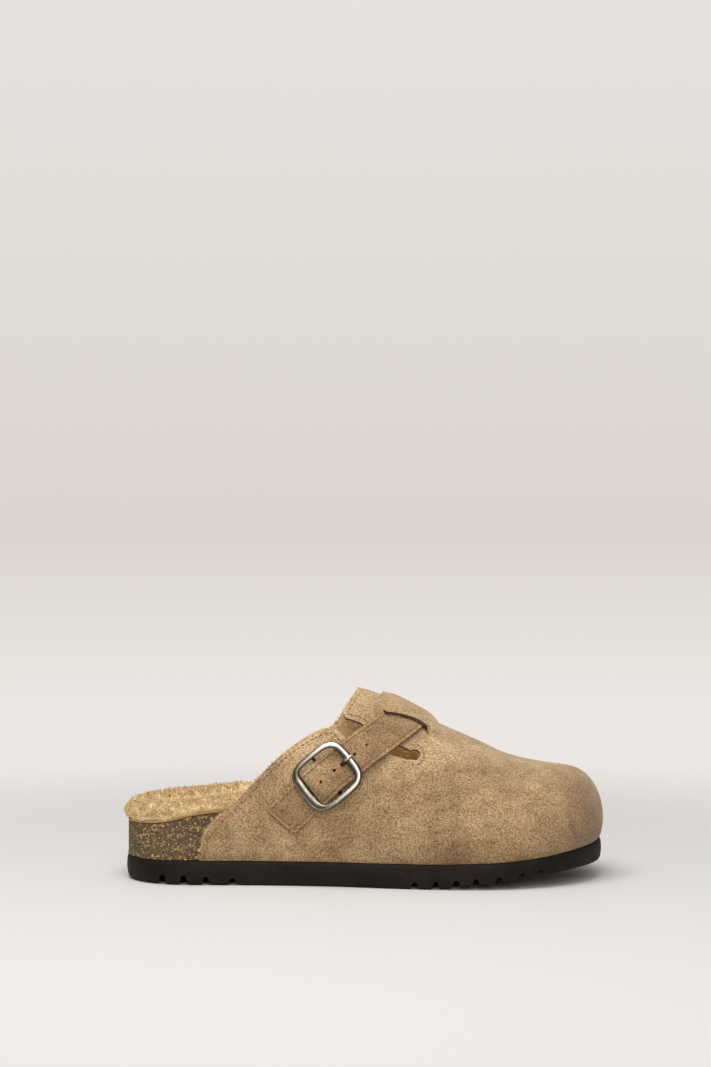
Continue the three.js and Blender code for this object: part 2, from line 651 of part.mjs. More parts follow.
// Strap surface at a height above its lower face; past the lip it runs under the cover.
function strapPoint(reach, across, height) {
  const lip = strapAxis(Math.min(1, reach), across);
  let climb = climbAt(...lip);
  let share = toShare(lip[0]);
  if (reach > 1) {
    const rest = (STRAP_TUCK - climb) * (reach - 1) / 0.1;
    climb += rest;
    share += COVER.drift * rest;
  }
  const { point, normal } = surfaceFrame(angleOf(share), climb);
  const lift = STRAP_CROSSING * strapLift(Math.min(1, reach)) + height;
  return point.addScaledVector(normal, lift);
}

// Closed slab from a grid of points on its lower and upper faces
function slab(rows, columns, pointAt) {
  const points = [];
  for (const level of [0, 1]) {
    for (let r = 0; r <= rows; r += 1) {
      for (let c = 0; c <= columns; c += 1) {
        points.push(pointAt(r / rows, c / columns, level).toArray());
      }
    }
  }
  const id = (level, r, c) => (level * (rows + 1) + r) * (columns + 1) + c;
  const faces = [];
  const quad = (a, b, c, d) => faces.push([a, b, c], [a, c, d]);
  for (let r = 0; r < rows; r += 1) {
    for (let c = 0; c < columns; c += 1) {
      quad(id(0, r, c), id(0, r + 1, c), id(0, r + 1, c + 1), id(0, r, c + 1));
      quad(id(1, r, c), id(1, r, c + 1), id(1, r + 1, c + 1), id(1, r + 1, c));
    }
    quad(id(0, r, 0), id(1, r, 0), id(1, r + 1, 0), id(0, r + 1, 0));
    quad(id(0, r, columns), id(0, r + 1, columns), id(1, r + 1, columns), id(1, r, columns));
  }
  for (let c = 0; c < columns; c += 1) {
    quad(id(0, 0, c), id(0, 0, c + 1), id(1, 0, c + 1), id(1, 0, c));
    quad(id(0, rows, c), id(1, rows, c), id(1, rows, c + 1), id(0, rows, c + 1));
  }
  return geometryOf(points, faces);
}

// A place on the strap as a matrix: x along it, y across it, z outwards
function strapFrame(reach, turn = null) {
  const { point, normal } = sideSurface(strapAxis(reach, 0));
  const angle = turn ?? STRAP_CLIMB;
  const along = new THREE.Vector3(Math.cos(angle), 0, Math.sin(angle));
  along.addScaledVector(normal, -along.dot(normal)).normalize();
  const across = normal.clone().cross(along);
  return new THREE.Matrix4().makeBasis(along, across, normal).setPosition(point);
}

function placed(geometry, matrix) {
  geometry.applyMatrix4(matrix);
  return solid(geometry);
}

// Length of the round and long punches that cut the strap's holes
const PUNCH = 30;

function buildStrap() {
  const tip = (reach, across) => {
    const corner = Math.max(0, Math.abs(across) * 2 - 0.8) / 0.2;
    return reach + (reach < 0.02 ? 0.018 * corner ** 2 : 0);
  };
  let strap = solid(slab(26, 6, (r, c, level) => {
    const reach = r * 1.1;
    const narrow = 1 - 0.08 * THREE.MathUtils.smoothstep(reach, 0.96, 1.02);
    const across = (c - 0.5) * narrow;
    return strapPoint(tip(reach, across), across, level * STRAP_THICKNESS);
  }));
  for (const reach of HOLES) {
    const hole = new THREE.CylinderGeometry(HOLE_DIAMETER / 2, HOLE_DIAMETER / 2, PUNCH, 8);
    hole.rotateX(Math.PI / 2);
    strap = strap.subtract(placed(hole, strapFrame(reach)));
  }
  const slot = new THREE.BoxGeometry(PRONG_HOLE.length, PRONG_HOLE.width, PUNCH);
  return geometryFrom(strap.subtract(placed(slot, strapFrame(PRONG_HOLE.along))));
}

// Buckle, in its own frame: x along the strap, y across, z outwards from the upper
const BUCKLE_PLANE = STRAP_CROSSING + BUCKLE_THICKNESS / 2 + BUCKLE_RISE;
const bow = (u) => BUCKLE_BOW * (2 * u / BUCKLE_LENGTH) ** 2;

function barWidth(u, v) {
  const end = THREE.MathUtils.smoothstep(Math.abs(u) / (BUCKLE_LENGTH / 2), 0.55, 0.9);
  const bar = u > 0 ? BUCKLE_UPPER_BAR : BUCKLE_LOWER_BAR;
  const corner = THREE.MathUtils.smoothstep(Math.abs(v) / (BUCKLE_WIDTH / 2), 0.5, 1);
  return BUCKLE_SIDE_BAR + (bar - BUCKLE_SIDE_BAR) * end * (1 - 0.5 * corner);
}

// Rounded rectangle as points with outward directions, anticlockwise from +x
function roundedOutline(length, width, radius, perCorner) {
  const points = [];
  for (const [sx, sy, start] of [[1, 1, 0], [-1, 1, 1], [-1, -1, 2], [1, -1, 3]]) {
    for (let i = 0; i <= perCorner; i += 1) {
      const a = (start + i / perCorner) * Math.PI / 2;
      const [nx, ny] = [Math.cos(a), Math.sin(a)];
      points.push({
        x: sx * (length / 2 - radius) + radius * nx,
        y: sy * (width / 2 - radius) + radius * ny,
        nx,
        ny,
      });
    }
  }
  return points;
}

function buildBuckleFrame() {
  const path = roundedOutline(BUCKLE_LENGTH, BUCKLE_WIDTH, BUCKLE_CORNER, 7);
  const sides = 8;
  const points = path.flatMap(({ x, y, nx, ny }) => {
    const width = barWidth(x, y);
    const [cx, cy] = [x - nx * width / 2, y - ny * width / 2];
    return Array.from({ length: sides }, (_, k) => {
      const a = 2 * Math.PI * (k + 0.5) / sides;
      const reach = Math.cos(a) * width / 2 * 1.04;
      const up = Math.sin(a) * BUCKLE_THICKNESS / 2 * 1.04;
      return [cx + nx * reach, cy + ny * reach, BUCKLE_PLANE + up - bow(cx)];
    });
  });
  const faces = [];
  const n = path.length;
  for (let i = 0; i < n; i += 1) {
    for (let k = 0; k < sides; k += 1) {
      const [a, b] = [i * sides + k, i * sides + (k + 1) % sides];
      const [c, d] = [((i + 1) % n) * sides + k, ((i + 1) % n) * sides + (k + 1) % sides];
      faces.push([a, c, d], [a, d, b]);
    }
  }
  let frame = solid(geometryOf(points, faces));
  const reach = (BUCKLE_WIDTH - BUCKLE_SIDE_BAR) / 2;
  const hingeRadius = HINGE_DIAMETER / 2;
  const hingeLength = 2 * reach + HINGE_DIAMETER;
  const hinge = new THREE.CylinderGeometry(hingeRadius, hingeRadius, hingeLength, 12);
  hinge.translate(0, 0, HINGE_LIFT);
  frame = frame.add(solid(hinge));
  for (const side of [-1, 1]) {
    const rise = BUCKLE_PLANE - HINGE_LIFT;
    const post = new THREE.CylinderGeometry(hingeRadius, hingeRadius, rise, 12);
    post.rotateX(Math.PI / 2);
    post.translate(0, side * reach, HINGE_LIFT + rise / 2);
    frame = frame.add(solid(post));
  }
  return geometryFrom(frame.transform(strapFrame(BUCKLE_ALONG, BUCKLE_TURN).elements));
}

const PRONG_EYE = HINGE_DIAMETER / 2 + FIT;

function buildProng() {
  const barCentre = BUCKLE_LENGTH / 2 - BUCKLE_UPPER_BAR / 2;
  const barTop = BUCKLE_PLANE - bow(barCentre) + BUCKLE_THICKNESS / 2 * 1.04;
  const rest = barTop + PRONG_DIAMETER / 2 + FIT;
  const start = PRONG_EYE + PRONG_DIAMETER / 2;
  const route = new THREE.CatmullRomCurve3([
    new THREE.Vector3(start, 0, HINGE_LIFT),
    new THREE.Vector3(start + 3, 0, HINGE_LIFT),
    new THREE.Vector3(barCentre * 0.51, 0, HINGE_LIFT + 0.4),
    new THREE.Vector3(barCentre * 0.745, 0, rest - 1.5),
    new THREE.Vector3(barCentre - 1.2, 0, rest),
    new THREE.Vector3(BUCKLE_LENGTH / 2 + 0.8, 0, rest - 0.2),
  ]);
  const section = new THREE.Shape();
  section.absarc(0, 0, PRONG_DIAMETER / 2, 0, 2 * Math.PI, false);
  const pin = new THREE.ExtrudeGeometry(section, { steps: 12, curveSegments: 4, extrudePath: route });
  const eye = new THREE.TorusGeometry(PRONG_EYE + 0.45, 0.45, 6, 14);
  eye.rotateX(Math.PI / 2);
  eye.scale(1, PRONG_DIAMETER, 1);
  eye.translate(0, 0, HINGE_LIFT);
  const neck = new THREE.CylinderGeometry(0.8, 0.8, start - PRONG_EYE + 0.6, 6);
  neck.rotateZ(Math.PI / 2);
  neck.translate((start + PRONG_EYE) / 2 + 0.3, 0, HINGE_LIFT);
  const prong = solid(pin).add(solid(eye)).add(solid(neck));
  return geometryFrom(prong.transform(strapFrame(BUCKLE_ALONG, BUCKLE_TURN).elements));
}

// Loop of suede sewn to the upper, folded round the hinge bar, with a slot for the prong
function buildLoop() {
  const inner = HINGE_DIAMETER / 2 + FIT;
  const outer = inner + LOOP_THICKNESS;
  const shape = new THREE.Shape();
  const tail = -11;
  shape.moveTo(tail, -outer);
  shape.lineTo(0, -outer);
  shape.absarc(0, 0, outer, -Math.PI / 2, Math.PI / 2, false);
  shape.lineTo(-2, outer);
  shape.lineTo(tail, -outer + 2 * LOOP_THICKNESS);
  shape.closePath();
  const hole = new THREE.Path();
  hole.absarc(0, 0, inner, 0, 2 * Math.PI, true);
  shape.holes.push(hole);
  const depth = LOOP_WIDTH;
  const body = new THREE.ExtrudeGeometry(shape, { depth, bevelEnabled: false, curveSegments: 10 });
  body.translate(0, 0, -LOOP_WIDTH / 2);
  body.rotateX(Math.PI / 2);
  body.translate(0, 0, HINGE_LIFT);
  const slot = new THREE.BoxGeometry(2 * outer + 6, PRONG_DIAMETER + 2 * FIT + 0.4, 4 * outer);
  slot.translate(outer - 0.5, 0, HINGE_LIFT);
  const loop = solid(body).subtract(solid(slot));
  return geometryFrom(loop.transform(strapFrame(BUCKLE_ALONG, BUCKLE_TURN).elements));
}

// Assembly
function material(color, roughness, metalness = 0) {
  return new THREE.MeshStandardMaterial({ color, roughness, metalness });
}

const suede = material(0xab8b64, 0.95);
const agedMetal = material(0x9b9282, 0.35, 1);
const group = new THREE.Group();

function piece(name, geometry, finish) {
  geometry.computeVertexNormals();
  const mesh = new THREE.Mesh(geometry, finish);
  mesh.name = name;
  group.add(mesh);
}

piece('outsole', buildOutsole(), material(0x261f1b, 0.7));
piece('cork_footbed', buildCork(), material(0x745e43, 0.9));
piece('insole_hide', buildHide(), material(0xc4a26d, 0.8));
piece('fleece_insole', buildFleece(), material(0xd6b98b, 1));
piece('upper', buildUpper(), suede);
piece('strap', buildStrap(), suede);
piece('buckle_frame', buildBuckleFrame(), agedMetal);
piece('buckle_prong', buildProng(), agedMetal);
piece('buckle_loop', buildLoop(), suede);

export default group;
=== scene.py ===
"""Looks of a right-foot suede mule with a cork footbed, fleece lining and one buckled strap.

Everything is in metres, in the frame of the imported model: +X to the toe, +Z up and -Y to the
outer side that carries the buckle.
"""

import logging
import math
import random
from bisect import bisect_right
from dataclasses import dataclass
from enum import Enum
from functools import lru_cache
from typing import Callable, Sequence

import bpy
from mathutils import Matrix, Vector, noise


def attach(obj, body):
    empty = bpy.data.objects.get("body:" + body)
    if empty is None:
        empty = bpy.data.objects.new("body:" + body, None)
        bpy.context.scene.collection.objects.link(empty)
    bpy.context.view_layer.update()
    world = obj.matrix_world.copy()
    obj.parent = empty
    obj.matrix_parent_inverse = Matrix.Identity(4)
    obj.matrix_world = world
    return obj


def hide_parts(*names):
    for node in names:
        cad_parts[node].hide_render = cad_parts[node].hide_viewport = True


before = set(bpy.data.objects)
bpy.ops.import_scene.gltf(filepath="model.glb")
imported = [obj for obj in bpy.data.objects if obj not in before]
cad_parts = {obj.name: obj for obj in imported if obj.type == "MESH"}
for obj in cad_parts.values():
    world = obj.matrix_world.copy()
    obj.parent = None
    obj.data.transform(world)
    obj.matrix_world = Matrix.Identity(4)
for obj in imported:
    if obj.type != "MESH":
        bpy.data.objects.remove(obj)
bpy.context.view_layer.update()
LOG = logging.getLogger("mule")
MM = 0.001
Point = tuple[float, float, float]
Spot = tuple[float, float]
Line = Sequence[Spot]
Place = Callable[[float, float], Point]
Object = bpy.types.Object
Material = bpy.types.Material
Node = bpy.types.Node
Socket = bpy.types.NodeSocket


class Side(Enum):
    """The two sides of a right shoe, by the sign of their Y."""

    OUTER = -1
    INNER = 1


class Row:
    """Curve through the rows of a table of shares."""

    def __init__(self, *rows: Spot) -> None:
        """Keeps the rows.

        Args:
            rows: pairs of place and value, in rising order of place.
        """
        self.places = [row[0] for row in rows]
        self.values = [row[1] for row in rows]
        last = len(rows) - 1
        self.slopes = [(self.values[min(last, k + 1)] - self.values[max(0, k - 1)])
                       / (self.places[min(last, k + 1)] - self.places[max(0, k - 1)])
                       for k in range(last + 1)]

    def __call__(self, place: float) -> float:
        """Returns the value of the curve at a place.

        Args:
            place: where to read the curve; past its ends it keeps the end's value.

        Returns:
            The value there.
        """
        i = min(len(self.places) - 2, max(0, bisect_right(self.places, place) - 1))
        span = self.places[i + 1] - self.places[i]
        t = min(1.0, max(0.0, (place - self.places[i]) / span))
        rise = t * t * (3 - 2 * t)
        bend = span * t * (1 - t) * ((1 - t) * self.slopes[i] - t * self.slopes[i + 1])
        return self.values[i] * (1 - rise) + self.values[i + 1] * rise + bend


def smooth(value: float, low: float, high: float) -> float:
    """Returns a soft step from 0 at low to 1 at high."""
    t = min(1.0, max(0.0, (value - low) / (high - low)))
    return t * t * (3 - 2 * t)


def hill(value: float, centre: float, width: float) -> float:
    """Returns a soft bump that is 1 at its centre."""
    return math.exp(-(((value - centre) / width) ** 2))


def share_of(angle: float) -> float:
    """Returns the share of the shoe's length at an angle round its outline."""
    return (1 - math.cos(angle)) / 2


def angle_of(share: float, inner: bool = False) -> float:
    """Returns the angle round the outline at a share of the length."""
    angle = math.acos(max(-1.0, min(1.0, 1 - 2 * share)))
    return 2 * math.pi - angle if inner else angle


@dataclass(frozen=True)
class Last:
    """The shape that the sole and the upper share, from the shoe's driving sizes."""

    length: float = 260.7 * MM
    ball: float = 98 * MM
    heel_to_origin: float = 27.6 * MM
    sole_height: float = 13 * MM
    toe_spring: float = 9.5 * MM
    instep: float = 103.4 * MM
    cork_height: float = 31 * MM
    wall: float = 1.8 * MM
    setback: float = 1.4 * MM
    bulge: float = 2.8 * MM
    ridge_shift: float = 4 * MM
    ridge_end: float = 0.913
    fan: float = 0.633
    fit: float = 0.3 * MM
    heel_end: float = 0.14
    heel_power: float = 2.15
    toe_end: float = 0.255
    toe_power: float = 2.35
    cork_setback: float = 0.8 * MM
    centre_row: Row = Row((0, 0), (.10, 0), (.17, 0), (.25, -.005), (.35, -.025), (.45, -.043),
                          (.55, -.048), (.65, -.030), (.74, 0), (.80, .018), (.90, .042), (1, .065))
    half_row: Row = Row((0, .325), (.10, .332), (.17, .337), (.25, .332), (.35, .328), (.45, .344),
                        (.55, .395), (.65, .459), (.74, .497), (.80, .505), (.90, .500), (1, .490))
    top_row: Row = Row((0, 1), (.13, .99), (.23, .985), (.40, .985), (.60, 1), (.675, 1.025),
                       (.78, 1.095), (.865, 1.24), (.93, 1.41), (1, 1.6))
    spring_row: Row = Row((0, 0), (.13, 0), (.23, 0), (.40, 0), (.60, 0), (.675, .14), (.78, .36),
                          (.865, .70), (.93, .86), (1, .95))
    edge_row: Row = Row((0, 1), (.13, .85), (.23, .30), (.40, .20), (.60, .20), (.675, .20),
                        (.78, .20), (.865, .25), (.93, .40), (1, .60))
    rim_row: Row = Row((0, 1), (.08, 1.06), (.155, 1.19), (.24, 1.26), (.36, 1.24), (.50, 1.10),
                       (.65, .90), (.80, .84), (.92, .96), (1, 1.06))
    bed_row: Row = Row((0, .80), (.08, .78), (.155, .79), (.24, .83), (.36, .88), (.50, .86),
                       (.65, .74), (.80, .72), (.92, .82), (1, .96))
    cover_row: Row = Row((0, 0), (.08, 0), (.155, 1), (.24, 1), (1, 1))
    ridge_row: Row = Row((.10, .740), (.23, .860), (.345, .955), (.422, .998), (.485, 1.0),
                         (.555, .938), (.646, .824), (.689, .773), (.751, .699), (.789, .652),
                         (.827, .620), (.890, .587), (1, .566))
    full_row: Row = Row((.10, 2.1), (.23, 2.1), (.345, 2.0), (.422, 1.95), (.485, 1.95),
                        (.555, 2.0), (.646, 2.15), (.689, 2.2), (.751, 2.3), (.789, 2.4),
                        (.827, 2.55), (.890, 2.8), (1, 3.0))

    def x(self, share: float) -> float:
        """Returns the place along the shoe of a share of its length."""
        return share * self.length - self.heel_to_origin

    def share(self, x: float) -> float:
        """Returns the share of the length at a place along the shoe."""
        return (x + self.heel_to_origin) / self.length

    def half(self, share: float) -> float:
        """Returns half the sole's width at a share of the length.

        Args:
            share: place along the shoe, as a share of its length.

        Returns:
            Half the width there.
        """
        heel = max(0.0, 1 - share / self.heel_end)
        toe = max(0.0, 1 - (1 - share) / self.toe_end)
        ends = (1 - min(1, heel) ** self.heel_power) * (1 - min(1, toe) ** self.toe_power)
        return self.ball * self.half_row(share) * math.sqrt(max(0.0, ends))

    @lru_cache(maxsize=4096)
    def edge(self, angle: float) -> tuple[float, float, float, float]:
        """Finds a point of the plan outline and the direction inwards from it.

        Args:
            angle: place round the outline.

        Returns:
            X and Y of the point and of the direction.
        """
        def at(a: float) -> Spot:
            share = share_of(a)
            side = -1 if a <= math.pi else 1
            return self.x(share), self.ball * self.centre_row(share) + side * self.half(share)

        step = 0.004
        x, y = at(angle)
        (x0, y0), (x1, y1) = at(max(0, angle - step)), at(min(2 * math.pi, angle + step))
        dx, dy = x1 - x0, y1 - y0
        if angle < step or angle > 2 * math.pi - step:
            dx, dy = 0.0, -1.0
        size = math.hypot(dx, dy)
        return x, y, -dy / size, dx / size

    def outline(self, angle: float, inset: float = 0.0) -> Spot:
        """Finds a point of the plan outline.

        Args:
            angle: 0 at the heel, pi at the toe by the outer side, 2 pi at the heel again.
            inset: distance inwards along the outline's normal.

        Returns:
            Its X and Y.
        """
        x, y, nx, ny = self.edge(angle)
        return x + nx * inset, y + ny * inset

    def sole_top(self, share: float) -> float:
        """Returns the height of the outsole's upper edge."""
        return self.sole_height * self.top_row(share)

    def tread(self, share: float) -> float:
        """Returns the height of the tread over the floor."""
        return self.toe_spring * self.spring_row(share)

    def cork_inset(self, share: float) -> float:
        """Returns how far the cork lies inside the sole's outline.

        Args:
            share: place along the shoe, as a share of its length.

        Returns:
            The distance inwards.
        """
        cover = min(1.0, max(0.0, self.cover_row(share)))
        base = self.cork_setback
        return base + cover * (self.setback + self.wall + 1.8 * self.fit - base)

    def upper(self, angle: float, climb: float, depth: float = 0.0) -> Vector:
        """Finds a point of the upper's surface.

        Args:
            angle: place round the outline.
            climb: 0 at the feather line, 1 at the ridge.
            depth: distance inwards from the outer face.

        Returns:
            The point.
        """
        fan, top, power, low, middle, ridge = self.station(angle)
        _, _, nx, ny = self.edge(angle)
        fx, fy = self.outline(angle, self.setback + depth)
        turn = climb * math.pi / 2
        lift = math.sin(turn) ** (2 / power)
        shrink = max(0.0, math.cos(turn)) ** (2 / power)
        out = self.bulge * math.sin(math.pi * lift ** 0.7)
        rx = self.x(top) - depth * fan
        ry = middle * (1 - lift * 0.6) + self.ridge_shift * lift
        return Vector((rx + (fx - rx) * shrink - nx * out,
                       ry + (fy - ry) * shrink - ny * out,
                       low + (ridge - depth - low) * lift))

    @lru_cache(maxsize=4096)
    def station(self, angle: float) -> tuple[float, ...]:
        """Works out what the upper's section at an angle needs.

        Args:
            angle: place round the outline.

        Returns:
            The fan's share, the ridge's place, the power, the lower end, the middle and the ridge.
        """
        share = share_of(angle)
        fan = max(0.0, (share - self.fan) / (1 - self.fan))
        top = share - (1 - self.ridge_end) * fan ** 2
        return (fan, top, self.full_row(top), self.sole_top(share) + self.fit,
                self.ball * self.centre_row(top), self.instep * self.ridge_row(top))

    def normal(self, angle: float, climb: float, depth: float = 0.0) -> Vector:
        """Finds the outward normal of the upper's surface.

        Args:
            angle: place round the outline.
            climb: 0 at the feather line, 1 at the ridge.
            depth: distance inwards from the outer face.

        Returns:
            The normal.
        """
        ahead = self.upper(angle + .01, climb, depth) - self.upper(angle - .01, climb, depth)
        low, high = max(0.001, climb - .01), min(0.999, climb + .01)
        above = self.upper(angle, high, depth) - self.upper(angle, low, depth)
        return ahead.cross(above).normalized()

    def climb_at(self, x: float, z: float, inner: bool = False) -> Spot:
        """Finds where a place of the side view lies on the upper.

        Args:
            x: place along the shoe.
            z: height.
            inner: True for the inner side.

        Returns:
            The angle and the climb.
        """
        angle = angle_of(self.share(x), inner)
        low, high = 0.0, 1.0
        for _ in range(15):
            mid = (low + high) / 2
            if self.upper(angle, mid).z < z:
                low = mid
            else:
                high = mid
        return angle, (low + high) / 2


LAST = Last()
AROUND = 420
TOP = 0.999


# Modelling helpers


def pick(obj: Object) -> None:
    """Makes one object the only selected and the active one.

    Args:
        obj: the object.
    """
    bpy.ops.object.select_all(action="DESELECT")
    obj.select_set(True)
    bpy.context.view_layer.objects.active = obj


def mapped(name: str, columns: int, rows: int, place: Place) -> Object:
    """Adds a grid and lays its vertices on a surface.

    Args:
        name: the object's name.
        columns: faces along the first direction.
        rows: faces along the second direction.
        place: gives a point for two shares between 0 and 1.

    Returns:
        The object.
    """
    bpy.ops.mesh.primitive_grid_add(x_subdivisions=columns, y_subdivisions=rows, size=1)
    obj = bpy.context.object
    obj.name = name
    for vertex in obj.data.vertices:
        vertex.co = place(vertex.co.x + 0.5, vertex.co.y + 0.5)
    obj.data.update()
    return obj


def weld(obj: Object, distance: float = 0.02 * MM) -> Object:
    """Merges doubled vertices and turns the faces outwards.

    Args:
        obj: the object.
        distance: vertices nearer than this are merged.

    Returns:
        The object.
    """
    pick(obj)
    bpy.ops.object.mode_set(mode="EDIT")
    bpy.ops.mesh.select_all(action="SELECT")
    bpy.ops.mesh.remove_doubles(threshold=distance)
    bpy.ops.mesh.normals_make_consistent(inside=False)
    bpy.ops.object.mode_set(mode="OBJECT")
    return obj


def modify(obj: Object, kind: str, **settings: object) -> Object:
    """Adds a modifier, sets it and applies it.

    Args:
        obj: the object.
        kind: the modifier's type.
        settings: its values by name.

    Returns:
        The object.
    """
    pick(obj)
    bpy.ops.object.modifier_add(type=kind)
    modifier = obj.modifiers[-1]
    for key, value in settings.items():
        setattr(modifier, key, value)
    bpy.ops.object.modifier_apply(modifier=modifier.name)
    return obj


def joined(name: str, parts: Sequence[Object]) -> Object:
    """Joins several objects into one.

    Args:
        name: the object's name.
        parts: the objects, of which the first takes in the others.

    Returns:
        The joined object.
    """
    bpy.ops.object.select_all(action="DESELECT")
    for part in parts:
        part.select_set(True)
    bpy.context.view_layer.objects.active = parts[0]
    bpy.ops.object.join()
    parts[0].name = name
    return parts[0]


def dress(obj: Object, slot: str, *materials: Material, angle: float = 50,
          stands_for: Sequence[str] = ()) -> None:
    """Gives a piece its looks and its place in the frame.

    Args:
        obj: the piece.
        slot: the record's material slot; not used.
        materials: materials that it does not have yet, in the order of their use.
        angle: edges sharper than this stay sharp, in degrees.
        stands_for: CAD nodes that the piece replaces.
    """
    pick(obj)
    for material in materials:
        obj.data.materials.append(material)
    bpy.ops.object.shade_smooth_by_angle(angle=math.radians(angle))
    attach(obj, "root")
    for node in stands_for:
        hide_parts(node)
    LOG.info("%s: %d faces", obj.name, len(obj.data.polygons))


def meshed(name: str, vertices: Sequence[Point], faces: Sequence[tuple[int, ...]]) -> Object:
    """Adds an object from its vertices and faces.

    Args:
        name: the object's name.
        vertices: places of the vertices.
        faces: the vertices' numbers for each face.

    Returns:
        The object.
    """
    mesh = bpy.data.meshes.new(name)
    mesh.from_pydata([tuple(v) for v in vertices], [], faces)
    obj = bpy.data.objects.new(name, mesh)
    bpy.context.scene.collection.objects.link(obj)
    return obj


def shaded(obj: Object, name: str, values: Sequence[float]) -> None:
    """Keeps a number at every vertex for a finish to read."""
    obj.data.attributes.new(name, "FLOAT", "POINT").data.foreach_set("value", values)


def hoop(centre: Vector, side: Vector, other: Vector, sides: int,
         twist: float = 0.0) -> list[Vector]:
    """Returns points round a centre, one radius long as side and other are."""
    turns = (2 * math.pi * j / sides + twist for j in range(sides))
    return [centre + side * math.cos(a) + other * math.sin(a) for a in turns]


def skin(start: int, hoops: int, sides: int) -> list[tuple[int, ...]]:
    """Lists the faces between hoops of vertices and over the last one.

    Args:
        start: the first vertex's number.
        hoops: how many hoops there are.
        sides: vertices of one hoop.

    Returns:
        The vertices' numbers for each face.
    """
    faces = []
    for k in range(hoops - 1):
        for j in range(sides):
            a, b = start + k * sides + j, start + k * sides + (j + 1) % sides
            faces.append((a, b, b + sides, a + sides))
    faces.append(tuple(start + (hoops - 1) * sides + j for j in range(sides)))
    return faces


def tubes(name: str, paths: Sequence[Sequence[Vector]], radius: float, sides: int = 6) -> Object:
    """Makes round strands along short paths, closed at both ends, as one mesh.

    Args:
        name: the object's name.
        paths: the points of each strand.
        radius: the strands' radius at their middle.
        sides: faces round a strand.

    Returns:
        The object.
    """
    vertices, faces = [], []
    for path in paths:
        start = len(vertices)
        last = len(path) - 1
        for k, point in enumerate(path):
            ahead = (path[min(last, k + 1)] - path[max(0, k - 1)]).normalized()
            side = ahead.orthogonal().normalized()
            other = ahead.cross(side)
            size = radius * math.sqrt(max(0.12, 1 - (2 * k / last - 1) ** 4))
            vertices += hoop(point, side * size, other * size, sides)
        faces += skin(start, len(path), sides)
        faces.append(tuple(start + j for j in reversed(range(sides))))
    return meshed(name, vertices, faces)


def rounded(points: Line, steps: int = 6) -> list[Spot]:
    """Runs a smooth open curve through points.

    Args:
        points: places of the side view, in metres.
        steps: parts of each stretch.

    Returns:
        The finer line.
    """
    line = []
    last = len(points) - 1
    for i in range(last):
        a, b, c, d = (points[max(0, i - 1)], points[i], points[i + 1], points[min(last, i + 2)])
        for k in range(steps):
            t = k / steps
            line.append(tuple(
                0.5 * (2 * b[j] + (c[j] - a[j]) * t
                       + (2 * a[j] - 5 * b[j] + 4 * c[j] - d[j]) * t * t
                       + (3 * b[j] - a[j] - 3 * c[j] + d[j]) * t ** 3) for j in (0, 1)))
    line.append(points[-1])
    return line


def drawn(rows: Line) -> list[Spot]:
    """Turns shares of the length and of the instep's height into places of the side view."""
    return [(LAST.x(a), b * LAST.instep) for a, b in rows]


def between(points: Line, place: float) -> Spot:
    """Finds the point at a share of an open line's steps.

    Args:
        points: the line's points.
        place: the share, from 0 to 1.

    Returns:
        The point.
    """
    t = place * (len(points) - 1)
    i = min(len(points) - 2, int(t))
    (x0, z0), (x1, z1) = points[i], points[i + 1]
    return x0 + (x1 - x0) * (t - i), z0 + (z1 - z0) * (t - i)


def inside(place: Spot, line: Line) -> bool:
    """Tells whether a place of the side view lies in a closed line.

    Args:
        place: X and Z of the place.
        line: the line's points.

    Returns:
        True where it does.
    """
    x, z = place
    found = False
    for (x0, z0), (x1, z1) in zip(line, [*line[1:], line[0]]):
        if (z0 > z) != (z1 > z) and x < x0 + (z - z0) / (z1 - z0) * (x1 - x0):
            found = not found
    return found


def nearest(place: Spot, line: Line,
            closed: bool = False) -> Spot:
    """Finds the nearest point of a line of the side view.

    Args:
        place: X and Z of the place.
        line: the line's points.
        closed: True where the line ends at its start.

    Returns:
        X and Z of the nearest point.
    """
    x, z = place
    best, found = 1e9, place
    ends = [*line[1:], line[0]] if closed else line[1:]
    for (x0, z0), (x1, z1) in zip(line, ends):
        dx, dz = x1 - x0, z1 - z0
        size = dx * dx + dz * dz or 1e-12
        t = min(1, max(0, ((x - x0) * dx + (z - z0) * dz) / size))
        px, pz = x0 + dx * t, z0 + dz * t
        away = (px - x) ** 2 + (pz - z) ** 2
        if away < best:
            best, found = away, (px, pz)
    return found


# Finishes


class Graph:
    """A small builder for a tree of shader nodes."""

    def __init__(self, tree: bpy.types.NodeTree) -> None:
        """Empties the tree."""
        self.tree = tree
        tree.nodes.clear()

    def add(self, kind: str, inputs: dict[str | int, object] | None = None,
            **values: object) -> Node:
        """Adds a node.

        Args:
            kind: the node's type, without the ShaderNode that all of them start with.
            inputs: values or sockets, by the name or number of the node's input.
            values: plain properties by name.

        Returns:
            The node.
        """
        node = self.tree.nodes.new("ShaderNode" + kind)
        for key, value in values.items():
            setattr(node, key, value)
        for key, value in (inputs or {}).items():
            if isinstance(value, Socket):
                self.tree.links.new(value, node.inputs[key])
            else:
                node.inputs[key].default_value = value
        return node

    def ramp(self, source: Socket, *stops: tuple[float, Point]) -> Socket:
        """Adds a colour ramp.

        Args:
            source: the factor.
            stops: pairs of place and colour.

        Returns:
            The colour's socket.
        """
        node = self.add("ValToRGB", {0: source})
        elements = node.color_ramp.elements
        while len(elements) < len(stops):
            elements.new(0.5)
        for element, (place, colour) in zip(elements, stops):
            element.position = place
            element.color = (*colour, 1)
        return node.outputs[0]


